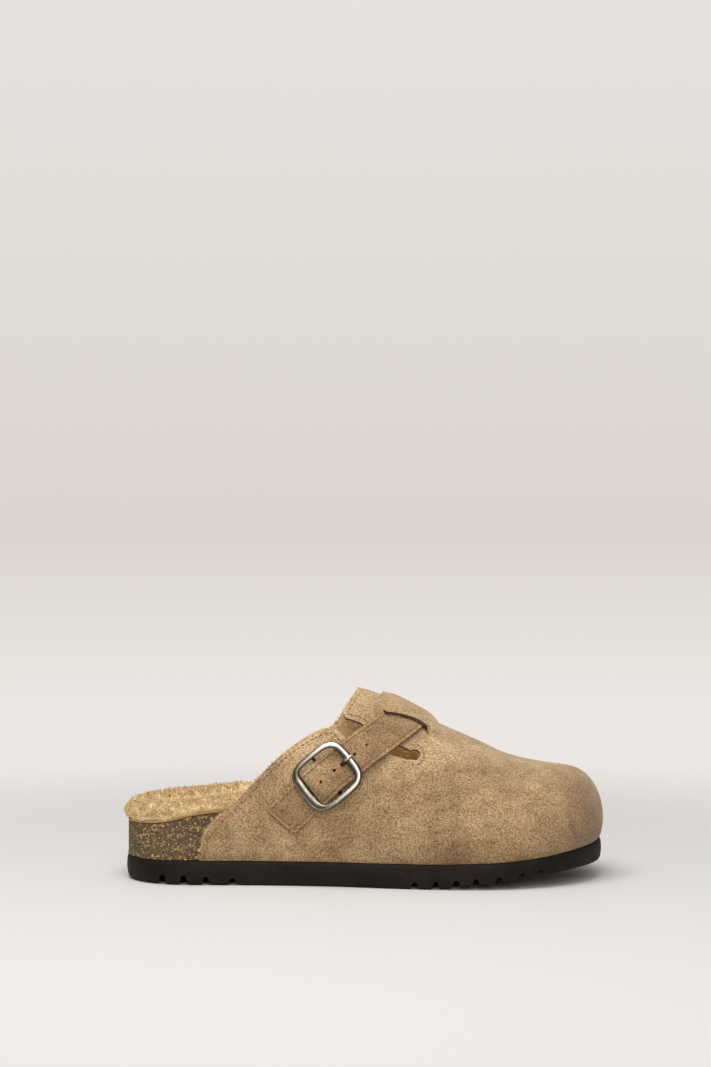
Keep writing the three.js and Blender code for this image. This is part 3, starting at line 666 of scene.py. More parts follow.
class Nodes(Graph):
    """The nodes of one material, on object coordinates in metres."""

    def __init__(self, name: str) -> None:
        """Makes an empty node material with its surface shader.

        Args:
            name: the material's name.
        """
        self.material = bpy.data.materials.new(name)
        self.material.use_nodes = True
        super().__init__(self.material.node_tree)
        self.shader = self.add("BsdfPrincipled")
        self.out = self.add("OutputMaterial", {"Surface": self.shader.outputs[0]})
        self.place = self.add("TexCoord").outputs["Object"]

    def noise(self, scale: float, detail: float = 3, rough: float = 0.55,
              stretch: Point = (1, 1, 1)) -> Socket:
        """Adds noise.

        Args:
            scale: size of the pattern, in repeats per metre.
            detail: octaves.
            rough: share of the finer octaves.
            stretch: scale along each axis.

        Returns:
            The factor's socket.
        """
        mapping = self.add("Mapping", {0: self.place, "Scale": stretch})
        node = self.add("TexNoise", {"Vector": mapping.outputs[0], "Scale": scale,
                                     "Detail": detail, "Roughness": rough})
        return node.outputs["Fac"]

    def cells(self, scale: float, feature: str = "F1") -> Node:
        """Adds a cell pattern."""
        return self.add("TexVoronoi", {"Scale": scale, "Vector": self.place}, feature=feature)

    def kept(self, name: str) -> Socket:
        """Reads a number that a piece keeps at its vertices."""
        return self.add("Attribute", attribute_name=name).outputs["Fac"]

    def mix(self, factor: Socket | float, a: Socket, b: Socket | Point,
            mode: str = "MIX") -> Socket:
        """Mixes two colours.

        Args:
            factor: how much of the second colour.
            a: first colour.
            b: second colour.
            mode: how they mix.

        Returns:
            The mixed colour's socket.
        """
        b = b if isinstance(b, Socket) else (*b, 1)
        node = self.add("Mix", {0: factor, 6: a, 7: b}, data_type="RGBA", blend_type=mode)
        return node.outputs[2]

    def shade(self, factor: float, colour: Socket, source: Socket,
              *stops: tuple[float, Point]) -> Socket:
        """Multiplies a colour by a ramp.

        Args:
            factor: how much the ramp tells.
            colour: the colour.
            source: what the ramp reads.
            stops: pairs of place and colour.

        Returns:
            The shaded colour's socket.
        """
        return self.mix(factor, colour, self.ramp(source, *stops), "MULTIPLY")

    def weighed(self, value: Socket, factor: float, rest: Socket) -> Socket:
        """Returns the sum of a value times a factor and the rest."""
        node = self.add("Math", {0: value, 1: factor, 2: rest}, operation="MULTIPLY_ADD")
        return node.outputs[0]

    def bump(self, *layers: tuple[Socket, float]) -> None:
        """Stacks bump layers onto the shader.

        Args:
            layers: pairs of height and its depth in metres.
        """
        below = {}
        for height, depth in layers:
            node = self.add("Bump", {"Strength": 1.0, "Distance": depth, "Height": height, **below})
            below = {"Normal": node.outputs[0]}
        self.tree.links.new(below["Normal"], self.shader.inputs["Normal"])

    def finish(self, colour: Socket, **sockets: object) -> Material:
        """Sets the shader's colour and plain values.

        Args:
            colour: the base colour's socket.
            sockets: values by socket name, with _ for a blank.

        Returns:
            The material.
        """
        self.tree.links.new(colour, self.shader.inputs["Base Color"])
        for key, value in sockets.items():
            self.shader.inputs[key.replace("_", " ")].default_value = value
        return self.material


@dataclass(frozen=True)
class Suede:
    """Short brushed nap with light and dark hand marks, painted shade low down and painted glints.
    """

    name: str = "suede"
    dark: Point = (0.258, 0.163, 0.082)
    base: Point = (0.492, 0.333, 0.180)
    light: Point = (0.720, 0.520, 0.305)
    nap: float = 0.00035
    bordered: bool = False

    def make(self) -> Material:
        """Mixes the finish's nodes.

        Returns:
            The material.
        """
        n = Nodes(self.name)
        clouds = n.noise(24, 3, 0.5)
        marks = n.noise(95, 3, 0.6, (1, 1, 1.3))
        grain = n.noise(1150, 3, 0.75)
        fibre = n.noise(2400, 2, 0.7)
        colour = n.ramp(clouds, (0.30, self.dark), (0.50, self.base), (0.72, self.light))
        colour = n.mix(0.50, colour, self.base)
        colour = n.shade(0.62, colour, marks, (0.32, (0.66, 0.63, 0.59)), (0.52, (1, 1, 1)),
                         (0.72, (1.16, 1.16, 1.16)))
        # Painted shade: the suede darkens towards the bottom, fading out by about 7 cm over the
        # floor, its edge broken by the clouds.
        height = n.add("SeparateXYZ", {0: n.place}).outputs["Z"]
        colour = n.shade(1.0, colour, n.weighed(clouds, 0.045, height),
                         (0.036, (0.56, 0.53, 0.50)), (0.092, (1, 1, 1)))
        # Painted light and shade along the strap's border: a lighter band between the edge and the
        # seam as a painted highlight on the raised border, darker at the very edge and in the
        # seam's dent as painted shade.
        if self.bordered:
            colour = n.shade(0.8, colour, n.kept("border"),
                             (0.0, (0.80, 0.76, 0.72)), (0.14, (1.30, 1.30, 1.30)),
                             (0.34, (1.20, 1.20, 1.20)), (0.48, (0.72, 0.68, 0.64)),
                             (0.66, (1, 1, 1)))
        colour = n.shade(0.72, colour, grain, (0.36, (0.34, 0.29, 0.25)),
                         (0.50, (0.98, 0.98, 0.98)), (0.62, (1.75, 1.75, 1.75)))
        # Painted glints: the fibre pattern's bright specks stand in for light caught by the nap;
        # its dark specks and its bump are nap texture.
        colour = n.shade(0.6, colour, fibre, (0.38, (0.72, 0.68, 0.62)),
                         (0.64, (1.30, 1.30, 1.30)))
        n.bump((marks, self.nap * 1.6), (grain, self.nap * 1.3), (fibre, self.nap * 0.5))
        return n.finish(colour, Roughness=0.95, Sheen_Weight=0.45, Sheen_Roughness=0.4,
                        Sheen_Tint=(0.98, 0.86, 0.70, 1), Specular_IOR_Level=0.12)


@dataclass(frozen=True)
class Cork:
    """Pressed granules, dark with golden and cream bits."""

    name: str = "cork"
    ground: Point = (0.120, 0.077, 0.040)
    dark: Point = (0.048, 0.030, 0.016)
    gold: Point = (0.44, 0.27, 0.09)
    cream: Point = (0.52, 0.40, 0.22)
    scale: float = 720
    fine_scale: float = 1300

    def make(self) -> Material:
        """Mixes the finish's nodes.

        Returns:
            The material.
        """
        n = Nodes(self.name)
        edge = n.cells(self.scale, "DISTANCE_TO_EDGE").outputs["Distance"]
        warp = n.noise(240, 3)
        tones = []
        for scale, low, high in ((self.scale, 0.32, 0.64), (self.fine_scale, 0.40, 0.68)):
            tones.append(n.ramp(n.cells(scale).outputs["Color"], (0.0, self.dark),
                                (low, self.ground), (high, self.ground), (0.78, self.gold),
                                (0.97, self.cream)))
        patches = n.ramp(warp, (0.42, (0, 0, 0)), (0.52, (1, 1, 1)))
        colour = n.shade(0.8, n.mix(patches, *tones), edge, (0.0, (0.35, 0.3, 0.27)),
                         (0.07, (1, 1, 1)))
        n.bump((edge, 0.0004), (warp, 0.0003))
        return n.finish(colour, Roughness=0.72, Specular_IOR_Level=0.35)


@dataclass(frozen=True)
class Rubber:
    """Dark brown moulded foam rubber."""

    name: str = "outsole_rubber"
    base: Point = (0.0070, 0.0042, 0.0028)
    paler_tone: Point = (0.0125, 0.0082, 0.0060)

    def make(self) -> Material:
        """Mixes the finish's nodes.

        Returns:
            The material.
        """
        n = Nodes(self.name)
        cloud = n.noise(60, 4)
        skin = n.noise(1500, 3, 0.7)
        colour = n.ramp(cloud, (0.35, self.base), (0.70, self.paler_tone))
        colour = n.shade(0.9, colour, skin, (0.30, (0.45, 0.45, 0.45)), (0.50, (1, 1, 1)),
                         (0.68, (2.6, 2.5, 2.4)))
        n.bump((skin, 0.00020), (cloud, 0.0003))
        return n.finish(colour, Roughness=0.62, Specular_IOR_Level=0.16)


@dataclass(frozen=True)
class Fibre:
    """Two tones of one fibre pattern, for raw hide, sewing thread and painted cut edges."""

    name: str
    dark: Point
    light: Point
    scale: float
    detail: float
    high: float
    depth: float
    roughness: float
    specular: float = 0.5
    rough: float = 0.55
    stretch: Point = (1, 1, 1)

    def make(self) -> Material:
        """Mixes the finish's nodes.

        Returns:
            The material.
        """
        n = Nodes(self.name)
        fibre = n.noise(self.scale, self.detail, self.rough, self.stretch)
        colour = n.ramp(fibre, (0.35, self.dark), (self.high, self.light))
        n.bump((fibre, self.depth))
        return n.finish(colour, Roughness=self.roughness, Specular_IOR_Level=self.specular)


@dataclass(frozen=True)
class Fleece:
    """Curly wool, cream and golden in patches, darker and more golden between the curls as painted
    shade, with a weak painted glow.
    """

    name: str = "fleece"
    deep: Point = (0.88, 0.50, 0.18)
    tip: Point = (1.0, 0.74, 0.40)

    def make(self) -> Material:
        """Mixes the finish's nodes.

        Returns:
            The material.
        """
        n = Nodes(self.name)
        clouds = n.noise(90, 3)
        curls = n.noise(600, 4, 0.7)
        hairs = n.noise(1800, 3, 0.7, (1, 1, 2.2))
        colour = n.ramp(clouds, (0.30, self.deep), (0.58, self.tip))
        colour = n.mix(0.55, colour, self.tip)
        # Painted shade: the hollows of the curl pattern are darker and more golden.
        colour = n.shade(0.6, colour, curls, (0.32, (0.55, 0.38, 0.22)), (0.55, (1, 1, 1)))
        n.bump((curls, 0.0012), (hairs, 0.0005))
        # Painted light: a weak warm glow stands in for light scattered through the wool.
        return n.finish(colour, Roughness=1.0, Sheen_Weight=0.35, Sheen_Roughness=0.5,
                        Sheen_Tint=(1, 0.86, 0.66, 1), Specular_IOR_Level=0.1,
                        Emission_Color=(1, 0.74, 0.38, 1), Emission_Strength=0.05)


@dataclass(frozen=True)
class AgedSilverPaintedLight:
    """Plated metal with tarnish, painted bright on its crown as a highlight and dark on its slopes
    and in its hollows as painted shade.
    """

    name: str = "aged_silver_painted_light"
    bright: Point = (0.52, 0.49, 0.43)
    middle: Point = (0.20, 0.175, 0.135)
    dark: Point = (0.035, 0.028, 0.020)

    def make(self) -> Material:
        """Mixes the finish's nodes.

        Returns:
            The material.
        """
        n = Nodes(self.name)
        tarnish = n.noise(330, 4, 0.6)
        scratch = n.noise(1400, 2, 0.6, (1, 6, 1))
        # Painted light: the tone is the tarnish plus the crown value, so the crown reads as a
        # painted highlight and the slopes and hollows as painted shade.
        paler_tone = n.weighed(tarnish, 0.55, n.kept("crown"))
        colour = n.ramp(paler_tone, (0.22, self.dark), (0.62, self.middle), (1.05, self.bright))
        n.bump((tarnish, 0.00006), (scratch, 0.00003))
        return n.finish(colour, Metallic=1.0, Roughness=0.26)


# Sole


def swept(name: str, rows: int, profile: Callable[[float], list[Spot]],
          rough: float = 0.0) -> Object:
    """Builds a closed body from a section that changes along the shoe.

    Args:
        name: the object's name.
        rows: faces across the section, with a tenth of them to the middle line at either end.
        profile: gives inset and height of the section's points at a share of the length.
        rough: depth of the outer face's unevenness.

    Returns:
        The object.
    """
    cap = 0.1

    def place(u: float, v: float) -> Point:
        angle = 2 * math.pi * u
        share = share_of(angle)
        inset, height = between(profile(share), min(1.0, max(0.0, (v - cap) / (1 - 2 * cap))))
        x, y = LAST.outline(angle, inset)
        middle = LAST.ball * LAST.centre_row(share)
        shrink = 1 - max(0.0, (cap - v) / cap, (v - (1 - cap)) / cap)
        point = Vector((LAST.x(share) + (x - LAST.x(share)) * shrink,
                        middle + (y - middle) * shrink, height))
        if rough and v < 0.5:
            inward = rough * (0.5 + noise.noise(point * 500) * 0.5) * smooth(v, .1, .14)
            point += Vector((*LAST.edge(angle)[2:], 0)) * inward
        return point

    return weld(mapped(name, AROUND, rows, place), 0.03 * MM)


@dataclass
class Outsole:
    """Moulded rubber sole with a rolled edge and notches."""

    edge_radius: float = 2.4 * MM
    edge_bevel: float = 6 * MM
    flare: float = 0.8 * MM
    notch_width: float = 5 * MM
    notch_height: float = 3.4 * MM
    notch_depth: float = 11 * MM
    heel_notches: Sequence[float] = (.084, .128, .174, .229)
    ball_notches: Sequence[float] = (.600, .643, .684, .724, .771, .819, .856)

    def profile(self, share: float) -> list[Spot]:
        """Works out the section at a share of the length.

        Args:
            share: place along the shoe, as a share of its length.

        Returns:
            Inset and height of the section's points, from the tread to the upper edge.
        """
        tread, top = LAST.tread(share), LAST.sole_top(share)
        edge = self.edge_radius * LAST.edge_row(share)
        middle = (tread + top) / 2 + MM
        return [(self.edge_bevel, tread), (self.edge_bevel * 0.6, tread + edge * 0.06),
                (self.edge_bevel / 3, tread + edge / 4),
                (self.edge_bevel / 6, tread + edge / 2 + 0.2 * MM),
                (self.flare / 2, tread + edge + MM), (0.06 * MM, middle - 1.5 * MM), (0.0, middle),
                (0.3 * self.flare, top - 1.6 * MM), (self.flare - 0.15 * MM, top - 0.5 * MM),
                (self.flare + 0.25 * MM, top - 0.05 * MM), (self.flare + 0.8 * MM, top)]

    def build(self) -> None:
        """Builds the sole and cuts its notches."""
        sole = swept("outsole_rubber", 40, self.profile)
        cutters = [self.notch(share, side) for share in (*self.heel_notches, *self.ball_notches)
                   for side in Side]
        cutter = joined("notches", cutters)
        modify(sole, "BOOLEAN", operation="DIFFERENCE", object=cutter, solver="EXACT")
        bpy.data.objects.remove(cutter)
        self.part = sole

    def notch(self, share: float, side: Side) -> Object:
        """Makes the cutter of one notch.

        Args:
            share: place along the shoe, as a share of its length.
            side: the side that it opens to.

        Returns:
            The cutter.
        """
        x, z = LAST.x(share), LAST.tread(share)
        top = z + self.edge_radius * LAST.edge_row(share) + self.notch_height
        half = self.notch_width / 2
        crown = self.notch_width / 5
        section = [(x - half * 1.1, z - half), (x + half * 1.1, z - half), (x + half, z)]
        section += [(x + crown * 1.5 * math.cos(a), top - 1.6 * crown + 1.6 * crown * math.sin(a))
                    for a in (math.pi * k / 8 for k in range(9))]
        section.append((x - half, z))
        middle = LAST.ball * LAST.centre_row(share)
        near = middle + side.value * (LAST.half(share) - self.notch_depth)
        far = middle + side.value * LAST.ball
        points = [(px, y, pz) for y in sorted((near, far)) for px, pz in section]
        n = len(section)
        faces = [tuple(range(n)), tuple(reversed(range(n, 2 * n)))]
        faces += [(k, n + k, n + (k + 1) % n, (k + 1) % n) for k in range(n)]
        return meshed("notch", points, faces)

    def dress(self, finishes: "Finishes") -> None:
        """Gives the sole its looks."""
        dress(self.part, "outsole", finishes.rubber, angle=35, stands_for=["outsole"])


@dataclass
class Footbed:
    """Cork footbed and the hide laid over it."""

    rim: float = 4 * MM
    reach: float = 15 * MM
    hide: float = 1.6 * MM

    def build(self) -> None:
        """Builds the cork and the hide."""
        def rim(share: float) -> float:
            return LAST.cork_height * LAST.rim_row(share)

        def bed(share: float) -> float:
            return LAST.cork_height * LAST.bed_row(share)

        def cork(share: float) -> list[Spot]:
            inset, low = LAST.cork_inset(share), LAST.sole_top(share) + LAST.fit
            return [(inset, low), (inset, (low + rim(share)) / 2), (inset, rim(share) - 0.4 * MM),
                    (inset + 0.4 * MM, rim(share)), (inset + self.rim, rim(share)),
                    (inset + self.reach, bed(share))]

        def hide(share: float) -> list[Spot]:
            inset = LAST.cork_inset(share)
            low, deep = rim(share) + LAST.fit, bed(share) + LAST.fit
            return [(inset + self.reach, deep), (inset + self.rim, low), (inset + 0.2 * MM, low),
                    (inset, low + 0.3 * MM), (inset, low + self.hide - 0.3 * MM),
                    (inset + 0.3 * MM, low + self.hide), (inset + self.rim, low + self.hide),
                    (inset + self.reach, deep + self.hide)]

        self.cork = swept("cork_body", 50, cork, 0.12 * MM)
        self.hide_sheet = swept("hide_sheet", 50, hide)

    def dress(self, finishes: "Finishes") -> None:
        """Gives both their looks."""
        dress(self.cork, "cork", finishes.cork, angle=40, stands_for=["cork_footbed"])
        dress(self.hide_sheet, "hide", finishes.hide, angle=40, stands_for=["insole_hide"])


# Upper


@dataclass
class StrapLine:
    """Where the strap runs in the side view, and how far it stands off the upper."""

    end: Spot = (0.327, 0.331)
    climb: float = math.radians(38.7)
    reach: float = 0.329
    width: float = 19.4 * MM
    thickness: float = 1.5 * MM
    skew_end: float = 0.2
    skew_lip: float = 0.64
    bow: float = 2 * MM
    tuck: float = 0.84
    drift: float = 0.085
    crossing: float = 4.6 * MM
    lift: Row = Row((0, .11), (.10, .18), (.18, .36), (.25, .48), (.32, .97), (.407, 1.12),
                    (.46, .94), (.52, .58), (.60, .56), (.70, .50), (.82, .28), (.93, .13),
                    (1.0, .12))

    def axis(self, reach: float, across: float) -> Spot:
        """Finds a place on the strap in the side view.

        Args:
            reach: 0 at the free end, 1 at the slot's lip.
            across: -0.5 at the upper edge, 0.5 at the lower edge.

        Returns:
            Its X and Z.
        """
        x0, z0 = LAST.x(self.end[0]), self.end[1] * LAST.instep
        skew = self.skew_end + (self.skew_lip - self.skew_end) * reach
        run = reach * self.reach * LAST.length + across * self.width * skew
        aside = self.bow * math.sin(math.pi * min(1, reach)) - across * self.width
        c, s = math.cos(self.climb), math.sin(self.climb)
        return x0 + run * c - aside * s, z0 + run * s + aside * c

    def find(self, x: float, z: float) -> Spot:
        """Finds where a place of the side view lies on the strap.

        Args:
            x: place along the shoe.
            z: height.

        Returns:
            The reach and the place across.
        """
        reach, across = 0.5, 0.0
        for _ in range(5):
            px, pz = self.axis(reach, across)
            ax, az = self.axis(reach + .01, across)
            bx, bz = self.axis(reach, across + .01)
            a, b, c, d = (ax - px) / .01, (bx - px) / .01, (az - pz) / .01, (bz - pz) / .01
            area = a * d - b * c
            reach += ((x - px) * d - (z - pz) * b) / area
            across += ((z - pz) * a - (x - px) * c) / area
            reach, across = max(-1, min(3, reach)), max(-4, min(4, across))
        return reach, across

    def foot(self, reach: float, across: float) -> tuple[Vector, Vector]:
        """Finds a point of the strap's lower face.

        Args:
            reach: 0 at the strap's free end, 1 at the slot's lip.
            across: -0.5 at the upper edge of the strap, 0.5 at the lower edge.

        Returns:
            The point and the direction away from the upper.
        """
        x, z = self.axis(min(1, reach), across)
        angle, climb = LAST.climb_at(x, z)
        if reach > 1:
            rest = (self.tuck - climb) * (reach - 1) / 0.1
            climb += rest
            angle = angle_of(LAST.share(x) + self.drift * rest)
        away = LAST.normal(angle, climb)
        return LAST.upper(angle, climb) + away * self.crossing * self.lift(min(1, reach)), away

    def lip(self, across: float) -> float:
        """Returns the reach of the slot's lip."""
        return 1 + 0.035 * max(0.0, 1 - (across / 0.6) ** 2)


STRAP = StrapLine()


@dataclass(frozen=True)
class Fold:
    """A soft fold or dent of the suede, leaning along the shoe as it climbs."""

    depth: float
    along: float
    width: float
    lean: float
    climb: float
    height: float
    pivot: float = 0.4

    def at(self, share: float, climb: float) -> float:
        """Returns how far it lifts a place."""
        lengthwise = hill(share + self.lean * (climb - self.pivot), self.along, self.width)
        return self.depth * lengthwise * hill(climb, self.climb, self.height)


@dataclass
class Upper:
    """Suede shell, one wall, open at the collar, the slit, the keyhole and the strap's slot."""

    columns: int = 440
    rows: int = 96
    rear: float = 0.132
    cover_along: float = 0.604
    cover_half: float = 0.068
    cover_soft: float = 0.014
    cover_front: float = 0.653
    cover_front_soft: float = 0.060
    cover_drift: float = 0.085
    cover_outer: float = 0.56
    cover_inner: float = 0.40
    cover_rise: float = 4.8 * MM
    cover_sunk: float = 0.42
    leap: float = 4 * MM
    keyhole: Spot = (0.6015, 0.675)
    keyhole_radius: float = 3 * MM
    collar: Line = (
        (.155, .06), (.158, .125), (.168, .232), (.179, .288), (.195, .336), (.211, .378),
        (.244, .456), (.279, .548), (.312, .633), (.345, .702), (.378, .758), (.408, .796),
        (.430, .808), (.441, .799), (.452, .774), (.468, .743), (.510, .710), (.550, .677),
        (.590, .647))
    tab: Line = (
        (.590, .703), (.545, .752), (.499, .822), (.474, .848), (.460, .858), (.4545, .880),
        (.460, .909), (.472, .953), (.485, 1.0), (.554, 1.25))
    inner_collar: Line = (
        (.155, .06), (.159, .125), (.172, .225), (.192, .305), (.225, .385), (.276, .480),
        (.330, .585), (.378, .677), (.418, .755), (.447, .820), (.468, .900), (.485, 1.0),
        (.492, 1.25))
    slot_half: float = 0.53
    catch: float = 3 * MM
    lip_catch: float = 2.2 * MM
    tongue_half: float = 0.66
    tongue_back: float = 0.075
    tongue_reach: float = 0.17
    tongue_sink: Spot = (0.12 * MM, 0.42 * MM)
    stitch: float = 1.9 * MM
    stitch_gap: float = 0.9 * MM
    thread_radius: float = 0.27 * MM
    collar_seam: float = 2.7 * MM
    tab_seam: float = 2.4 * MM
    keyhole_seam: float = 2.1 * MM
    folds: Sequence[Fold] = (
        Fold(depth=0.7 * MM, along=0.695, width=0.026, lean=-0.12, climb=0.40, height=0.26),
        Fold(depth=-0.9 * MM, along=0.745, width=0.028, lean=-0.12, climb=0.42, height=0.28),
        Fold(depth=-0.5 * MM, along=0.40, width=0.03, lean=0.25, climb=0.45, height=0.25,
             pivot=0.3))

    def __post_init__(self) -> None:
        """Works out the cut lines in the side view."""
        high = 2 * LAST.instep
        back = [(LAST.x(-.1), high), (LAST.x(-.1), 0), (LAST.x(.155), 0)]
        outer = [*rounded(drawn(self.collar)), *rounded(drawn(self.tab)), (LAST.x(.554), high)]
        inner = [*rounded(drawn(self.inner_collar)), (LAST.x(.492), high)]
        self.lines = {Side.OUTER: back + outer, Side.INNER: back + inner}
        self.ring = self.circle(self.keyhole_radius, [2 * math.pi * i / 28 for i in range(28)])

    def circle(self, radius: float, angles: Sequence[float]) -> list[Spot]:
        """Returns places at some angles round the keyhole's middle."""
        (x, z), = drawn([self.keyhole])
        return [(x + radius * math.cos(a), z + radius * math.sin(a)) for a in angles]

    def raised(self, angle: float, climb: float, ahead: float) -> float:
        """Returns how far the cover stands over the plain surface.

        Args:
            angle: place round the outline.
            climb: 0 at the feather line, 1 at the ridge.
            ahead: 0 behind the slot's lip, 1 in front of it.

        Returns:
            The height.
        """
        outer = angle <= math.pi
        share = share_of(angle)
        shift = (-1 if outer else 1) * self.cover_drift * (1 - climb)
        low = self.cover_outer if outer else self.cover_inner
        rear = self.cover_along - self.cover_half + shift
        front = self.cover_front + (0.7 if outer else 1) * abs(shift) * (1 if outer else 1.2)
        soft = self.cover_front_soft * (1 - 0.5 * smooth(1 - climb, 0, 0.2))
        side = smooth(share, rear, rear + self.cover_soft) * smooth(front - share, 0, soft)
        fade = smooth(climb, low - 0.03, low + 0.17)
        sunk = 1 - self.cover_sunk * smooth(climb, 0.84, 0.99)
        return self.cover_rise * side * fade * sunk * ahead

    def front(self, angle: float, climb: float, point: Vector) -> tuple[float, float, float]:
        """Tells how far the cover over a place lies in front of the slot's lip.

        Args:
            angle: place round the outline.
            climb: 0 at the feather line, 1 at the ridge.
            point: the plain surface there.

        Returns:
            The cover's share there, the distance past the lip and the place across the strap.
        """
        full = self.raised(angle, climb, 1.0)
        share, past, across = self.ahead(point.x, point.z + math.sin(climb * math.pi / 2) * full)
        if angle > math.pi:
            share += (1 - share) * smooth(1 - climb, 0, 0.25)
        return share, past, across

    def ahead(self, x: float, z: float) -> tuple[float, float, float]:
        """Tells how far a place lies in front of the slot's lip.

        Args:
            x: place along the shoe.
            z: height.

        Returns:
            The cover's share there, the distance past the lip and the place across the strap.
        """
        reach, across = STRAP.find(x, z)
        past = (reach - STRAP.lip(across)) * STRAP.reach * LAST.length
        open_end = smooth(abs(across), self.slot_half, 1.0) * self.leap
        if open_end < 0.2 * MM:
            return (1.0 if past > 0 else 0.0), past, across
        return smooth(past, -open_end, open_end), past, across

    def creases(self, point: Vector, angle: float, climb: float) -> float:
        """Returns the soft hand-made unevenness of the surface.

        Args:
            point: the plain surface there.
            angle: place round the outline.
            climb: 0 at the feather line, 1 at the ridge.

        Returns:
            How far the surface is lifted.
        """
        slow = noise.noise(point * 28) * 0.55 * MM
        middle = noise.noise(point * 75 + Vector((3, 1, 2))) * 0.16 * MM
        share = share_of(angle)
        folds = sum(fold.at(share, climb) for fold in self.folds)
        strength = 1.0 if angle <= math.pi else 0.8
        return (slow + middle + strength * folds) * smooth(climb, 0.0, 0.15)

    def surface(self, angle: float, climb: float, depth: float = 0.0,
                ahead: float = 0.0) -> Vector:
        """Finds a point of the finished outer face.

        Args:
            angle: place round the outline.
            climb: 0 at the feather line, 1 at the ridge.
            depth: distance inwards.
            ahead: the cover's share there, 0 for the surface under it.

        Returns:
            The point.
        """
        point = LAST.upper(angle, climb, depth)
        rise = self.raised(angle, climb, ahead) if ahead else 0.0
        rise += self.creases(point, angle, climb)
        turn = climb * math.pi / 2
        side = -1 if angle <= math.pi else 1
        return point + Vector((0, side * math.cos(turn) * rise, math.sin(turn) * rise))

    def cut(self, point: Vector, outer: bool) -> bool:
        """Tells whether a place lies in one of the openings.

        Args:
            point: the place.
            outer: True on the outer side.

        Returns:
            True where it does.
        """
        place = (point.x, point.z)
        if outer:
            return inside(place, self.lines[Side.OUTER]) or inside(place, self.ring)
        return inside(place, self.lines[Side.INNER])

    def moved(self, angle: float, climb: float, depth: float, ahead: float,
              goal: Spot) -> Spot:
        """Moves a place on the surface to a goal in the side view.

        Args:
            angle: place round the outline.
            climb: 0 at the feather line, 1 at the ridge.
            depth: distance inwards.
            ahead: the cover's share there.
            goal: X and Z to reach.

        Returns:
            The new angle and climb.
        """
        step, stride, damp = 0.002, 0.03, (2 * MM) ** 2
        climb = max(2 * step, climb)
        for _ in range(4):
            here = self.surface(angle, climb, depth, ahead=ahead)
            along = (self.surface(angle + step, climb, depth, ahead=ahead) - here) / step
            above = (here - self.surface(angle, climb - step, depth, ahead=ahead)) / step
            dx, dz = goal[0] - here.x, goal[1] - here.z
            m = along.x ** 2 + along.z ** 2 + damp
            n = along.x * above.x + along.z * above.z
            p = above.x ** 2 + above.z ** 2 + damp
            r, q = along.x * dx + along.z * dz, above.x * dx + above.z * dz
            area = m * p - n * n
            angle += max(-stride, min(stride, (r * p - q * n) / area))
            if climb < TOP:
                climb += max(-stride, min(stride, (q * m - r * n) / area))
                climb = min(TOP, max(2 * step, climb))
        return angle, climb

    def lip_line(self) -> list[Spot]:
        """Returns the slot's lip in the side view, from its upper to its lower end."""
        return [STRAP.axis(STRAP.lip(a / 20), a / 20) for a in range(-11, 12)]

    def shell(self, name: str, columns: int, rows: int, depth: float = 0.0,
              covered: bool = True) -> Object:
        """Lays a fine grid on the surface and opens it along the cut lines.

        Args:
            name: the object's name.
            columns: faces from the outer rear edge round the toe to the inner one.
            rows: faces from the feather line to the ridge.
            depth: distance inwards from the outer face.
            covered: True for the face that rises over the strap.

        Returns:
            The open sheet.
        """
        start = angle_of(self.rear)
        spots: list[tuple[float, float, float, bool, bool | None]] = []
        lip = self.lip_line()

        def place(u: float, v: float) -> Point:
            angle = start + (math.pi - start) * min(1.0, 2 * min(u, 1 - u))
            if u > 0.5:
                angle = 2 * math.pi - angle
            plain = LAST.upper(angle, v, depth)
            ahead, past, across = self.front(angle, v, plain)
            ahead *= covered
            point = self.surface(angle, v, depth, ahead=ahead)
            at_lip = covered and u <= 0.5 and abs(across) < self.slot_half and v > 0.5
            side = past > 0 if at_lip else None
            spots.append((angle, v, ahead, self.cut(point, u <= 0.5), side))
            return point

        sheet = mapped(name, columns, rows, place)
        mesh = sheet.data
        uses: dict[tuple[int, int], int] = {}
        gone, kept = set(), []
        for face in mesh.polygons:
            corners = [spots[i] for i in face.vertices]
            sides = {corner[4] for corner in corners} - {None}
            if sum(corner[3] for corner in corners) >= 2 or len(sides) == 2:
                gone.add(face.index)
            else:
                kept.append(face)
        for face in kept:
            for key in face.edge_keys:
                uses[key] = uses.get(key, 0) + 1
        touched = {i for index in gone for i in mesh.polygons[index].vertices}
        rim = {i for key, count in uses.items() if count == 1 for i in key} & touched
        for i in rim:
            angle, climb, ahead, _, side = spots[i]
            outer = angle <= math.pi
            point = self.surface(angle, climb, depth, ahead=ahead)
            spot = (point.x, point.z)
            full = self.surface(angle, climb, depth, ahead=1.0)
            goal = nearest((full.x, full.z), lip)
            if side is not None and math.dist(goal, (full.x, full.z)) < self.lip_catch:
                angle, climb = self.moved(angle, climb, depth, 1.0, goal)
            else:
                line = self.lines[Side.OUTER if outer else Side.INNER]
                goal = nearest(spot, line[3:-1])
                ring = nearest(spot, self.ring, True)
                if outer and math.dist(ring, spot) < math.dist(goal, spot):
                    goal = ring
                if climb > TOP:
                    goal = (goal[0], point.z)
                if math.dist(goal, spot) < self.catch:
                    angle, climb = self.moved(angle, climb, depth, ahead, goal)
            mesh.vertices[i].co = self.surface(angle, climb, depth, ahead=ahead)
        for items in (mesh.vertices, mesh.edges, mesh.polygons):
            items.foreach_set("select", [False] * len(items))
        for index in gone:
            mesh.polygons[index].select = True
        pick(sheet)
        bpy.ops.object.mode_set(mode="EDIT")
        bpy.ops.mesh.select_mode(type="FACE")
        bpy.ops.mesh.delete(type="FACE")
        bpy.ops.mesh.select_mode(type="VERT")
        bpy.ops.object.mode_set(mode="OBJECT")
        return weld(sheet)

    def build(self) -> None:
        """Builds the sheet of the shell, open along its cut lines."""
        self.part = self.shell("upper_shell", self.columns, self.rows)

